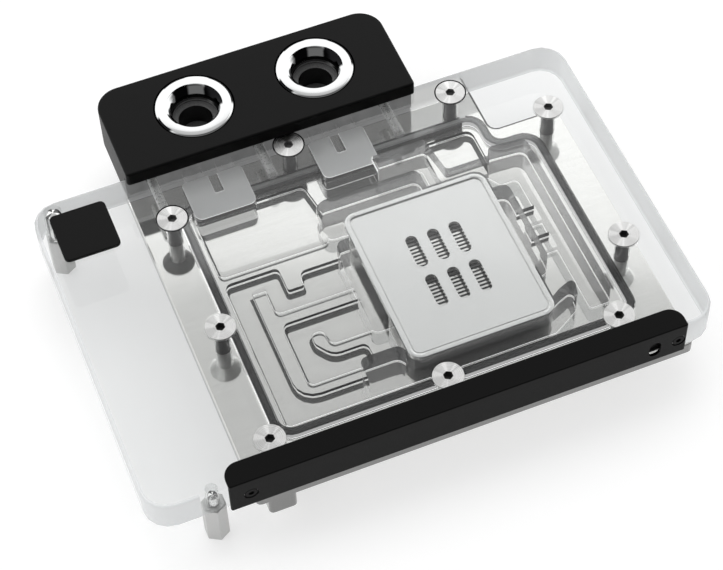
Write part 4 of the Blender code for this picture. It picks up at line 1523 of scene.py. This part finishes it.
@dataclass
class Studio:
    """Camera, floor, surroundings and lamps."""

    yaw: float = -20.109
    pitch: float = 54.637
    roll: float = -2.183
    stand: Point = (-38.359, -260.289, 455.501)
    focal_px: float = 2163.0
    width_px: float = 723.0
    sensor_mm: float = 36.0
    floor_size: float = 6.0
    # Grey levels overhead and at the sides, by the height of the direction they lie in.
    surroundings: tuple[Spot, ...] = (
        (0.0, 1.45), (0.77, 1.45), (0.8048, 1.2), (0.8056, 1.02), (0.8105, 0.98), (0.8112, 0.76),
        (0.87, 0.62), (1.0, 0.55))
    # The front half is dimmed: from the first depth and level to the second.
    front_depths: Spot = (-0.35, 0.1)
    front_levels: Spot = (0.12, 1.0)
    diffuse: tuple[float, float, float, float] = (0.55, 0.55, 0.55, 1.0)

    def camera(self) -> None:
        """Stand the camera where the photograph was taken."""
        data = bpy.data.cameras.new("camera")
        data.sensor_fit = "HORIZONTAL"
        data.sensor_width = self.sensor_mm
        data.lens = self.focal_px * self.sensor_mm / self.width_px
        data.clip_start = 0.01
        data.clip_end = 20.0
        side, lift, turn = (math.radians(v) for v in (self.yaw, self.pitch, self.roll))
        back = Vector((math.sin(side) * math.cos(lift), -math.cos(side) * math.cos(lift),
                       math.sin(lift)))
        right = Vector((math.cos(side), math.sin(side), 0.0))
        up = back.cross(right)
        right, up = (right * math.cos(turn) + up * math.sin(turn),
                     up * math.cos(turn) - right * math.sin(turn))
        matrix = Matrix((right, up, back)).transposed().to_4x4()
        matrix.translation = at(*self.stand)
        camera = bpy.data.objects.new("camera", data)
        camera.matrix_world = matrix
        bpy.context.scene.collection.objects.link(camera)
        bpy.context.scene.camera = camera

    def lamp(self, name: str, place: Point, size: Spot, power: float) -> None:
        """Hang one soft box that faces the block.

        Args:
            name: Name of the lamp.
            place: Its centre in metres.
            size: Its width and height in metres.
            power: Its power in watts.
        """
        data = bpy.data.lights.new(name, "AREA")
        data.shape = "RECTANGLE"
        data.size, data.size_y = size
        data.energy = power
        lamp = bpy.data.objects.new(name, data)
        lamp.location = place
        lamp.rotation_euler = (-Vector(place)).to_track_quat("-Z", "Y").to_euler()
        lamp.visible_glossy = False
        lamp.visible_transmission = False
        bpy.context.scene.collection.objects.link(lamp)

    def floor(self) -> None:
        """Lay the pale floor: white to the eye, and shaded where the block stands."""
        Bench.free()
        bpy.ops.mesh.primitive_plane_add(size=self.floor_size)
        floor = bpy.context.active_object
        floor.name = "floor"
        material = bpy.data.materials.new("white_paper")
        material.use_nodes = True
        tree = material.node_tree
        tree.nodes.clear()
        ray = light_path(tree)
        paper = add(tree, "BsdfDiffuse", {"Color": (0.8, 0.8, 0.8, 1.0)}).outputs[0]
        half = add(tree, "BsdfDiffuse", {"Color": (0.5, 0.5, 0.5, 1.0)}).outputs[0]
        glow = add(tree, "Emission", {"Strength": 0.55}).outputs[0]
        lit = add(tree, "AddShader", {0: half, 1: glow}).outputs[0]
        seen = calc(tree, "MAXIMUM", ray["Is Transmission Ray"], calc(
            tree, "MAXIMUM", ray["Is Camera Ray"], ray["Is Glossy Ray"]))
        add(tree, "OutputMaterial", {
            "Surface": add(tree, "MixShader", {0: seen, 1: paper, 2: lit}).outputs[0]})
        floor.data.materials.append(material)

    def sky(self) -> None:
        """Surround the block: bright low behind it, darker overhead and towards the viewer."""
        world = bpy.data.worlds.new("studio")
        bpy.context.scene.world = world
        world.use_nodes = True
        tree = world.node_tree
        tree.nodes.clear()
        way = axes(tree, add(tree, "TexCoord").outputs["Generated"])
        ramp = add(tree, "ValToRGB", {0: way["Z"]})
        stops = ramp.color_ramp.elements
        while len(stops) < len(self.surroundings):
            stops.new(0.5)
        for stop, (position, level) in zip(stops, self.surroundings):
            stop.position = position
            stop.color = (level, level, level, 1.0)
        front = spread(tree, way["Y"], self.front_depths, self.front_levels, smooth=True)
        tone = add(tree, "Mix", {0: 1.0, 6: ramp.outputs[0], 7: front}, data_type="RGBA",
                   blend_type="MULTIPLY").outputs[2]
        ray = light_path(tree)
        seen = blend(tree, ray["Is Camera Ray"], tone, WHITE)
        plain = blend(tree, ray["Is Diffuse Ray"], seen, self.diffuse)
        add(tree, "OutputWorld", {
            "Surface": add(tree, "Background", {0: plain, 1: 1.0}).outputs[0]})

    def build(self) -> None:
        """Set up the whole studio."""
        self.camera()
        self.floor()
        self.sky()
        self.lamp("top_box", (0.1, 0.35, 0.95), (0.9, 0.7), 4.5)
        self.lamp("left_box", (-0.9, 0.1, 0.7), (0.6, 0.8), 2.2)
        bpy.context.scene.view_settings.view_transform = "Standard"


# Standoffs: piece, node, axis, seat, radius of the stud and level of its end.
STANDOFFS: tuple[tuple[str, str, Spot, float, float, float], ...] = (
    ("post_1", "standoff_wing_1", (17.0, 3.4), -10.25, 1.45, -6.4),
    ("post_2", "standoff_wing_2", (5.9, 97.0), -10.25, 2.3, -0.2),
    ("foot_1", "standoff_plate_1", (69.0, 15.0), -14.35, 1.45, -11.75),
    ("foot_2", "standoff_plate_2", (125.0, 15.0), -14.35, 1.45, -11.75),
    ("foot_3", "standoff_plate_3", (69.0, 71.5), -14.35, 1.45, -11.75),
    ("foot_4", "standoff_plate_4", (125.0, 71.5), -14.35, 1.45, -11.75),
)


def main() -> None:
    """Dress the block, build its detailed pieces and light it."""
    logging.basicConfig(level=logging.INFO)
    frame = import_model()
    finishes = Finishes()
    slots = {entry["node"]: entry["material_slot"] for entry in frame["record"]["subparts"]}
    for name, node in frame["nodes"].items():
        finishes.dress(node, Slot(slots[name]))
    sheet = Sheet()
    sheet.build(frame, finishes)
    JetPlate().build(finishes)
    Terminal().build(finishes)
    for index, x in enumerate(sheet.studs, start=1):
        TerminalStud().build(index, x, finishes)
    CoverScrew().build(sheet.screws, finishes)
    SideRail().build(finishes)
    Badge().build(finishes)
    for standoff in STANDOFFS:
        Standoff().build(*standoff, finishes)
    Studio().build()
    bpy.context.view_layer.update()


if __name__ == "__main__":
    main()
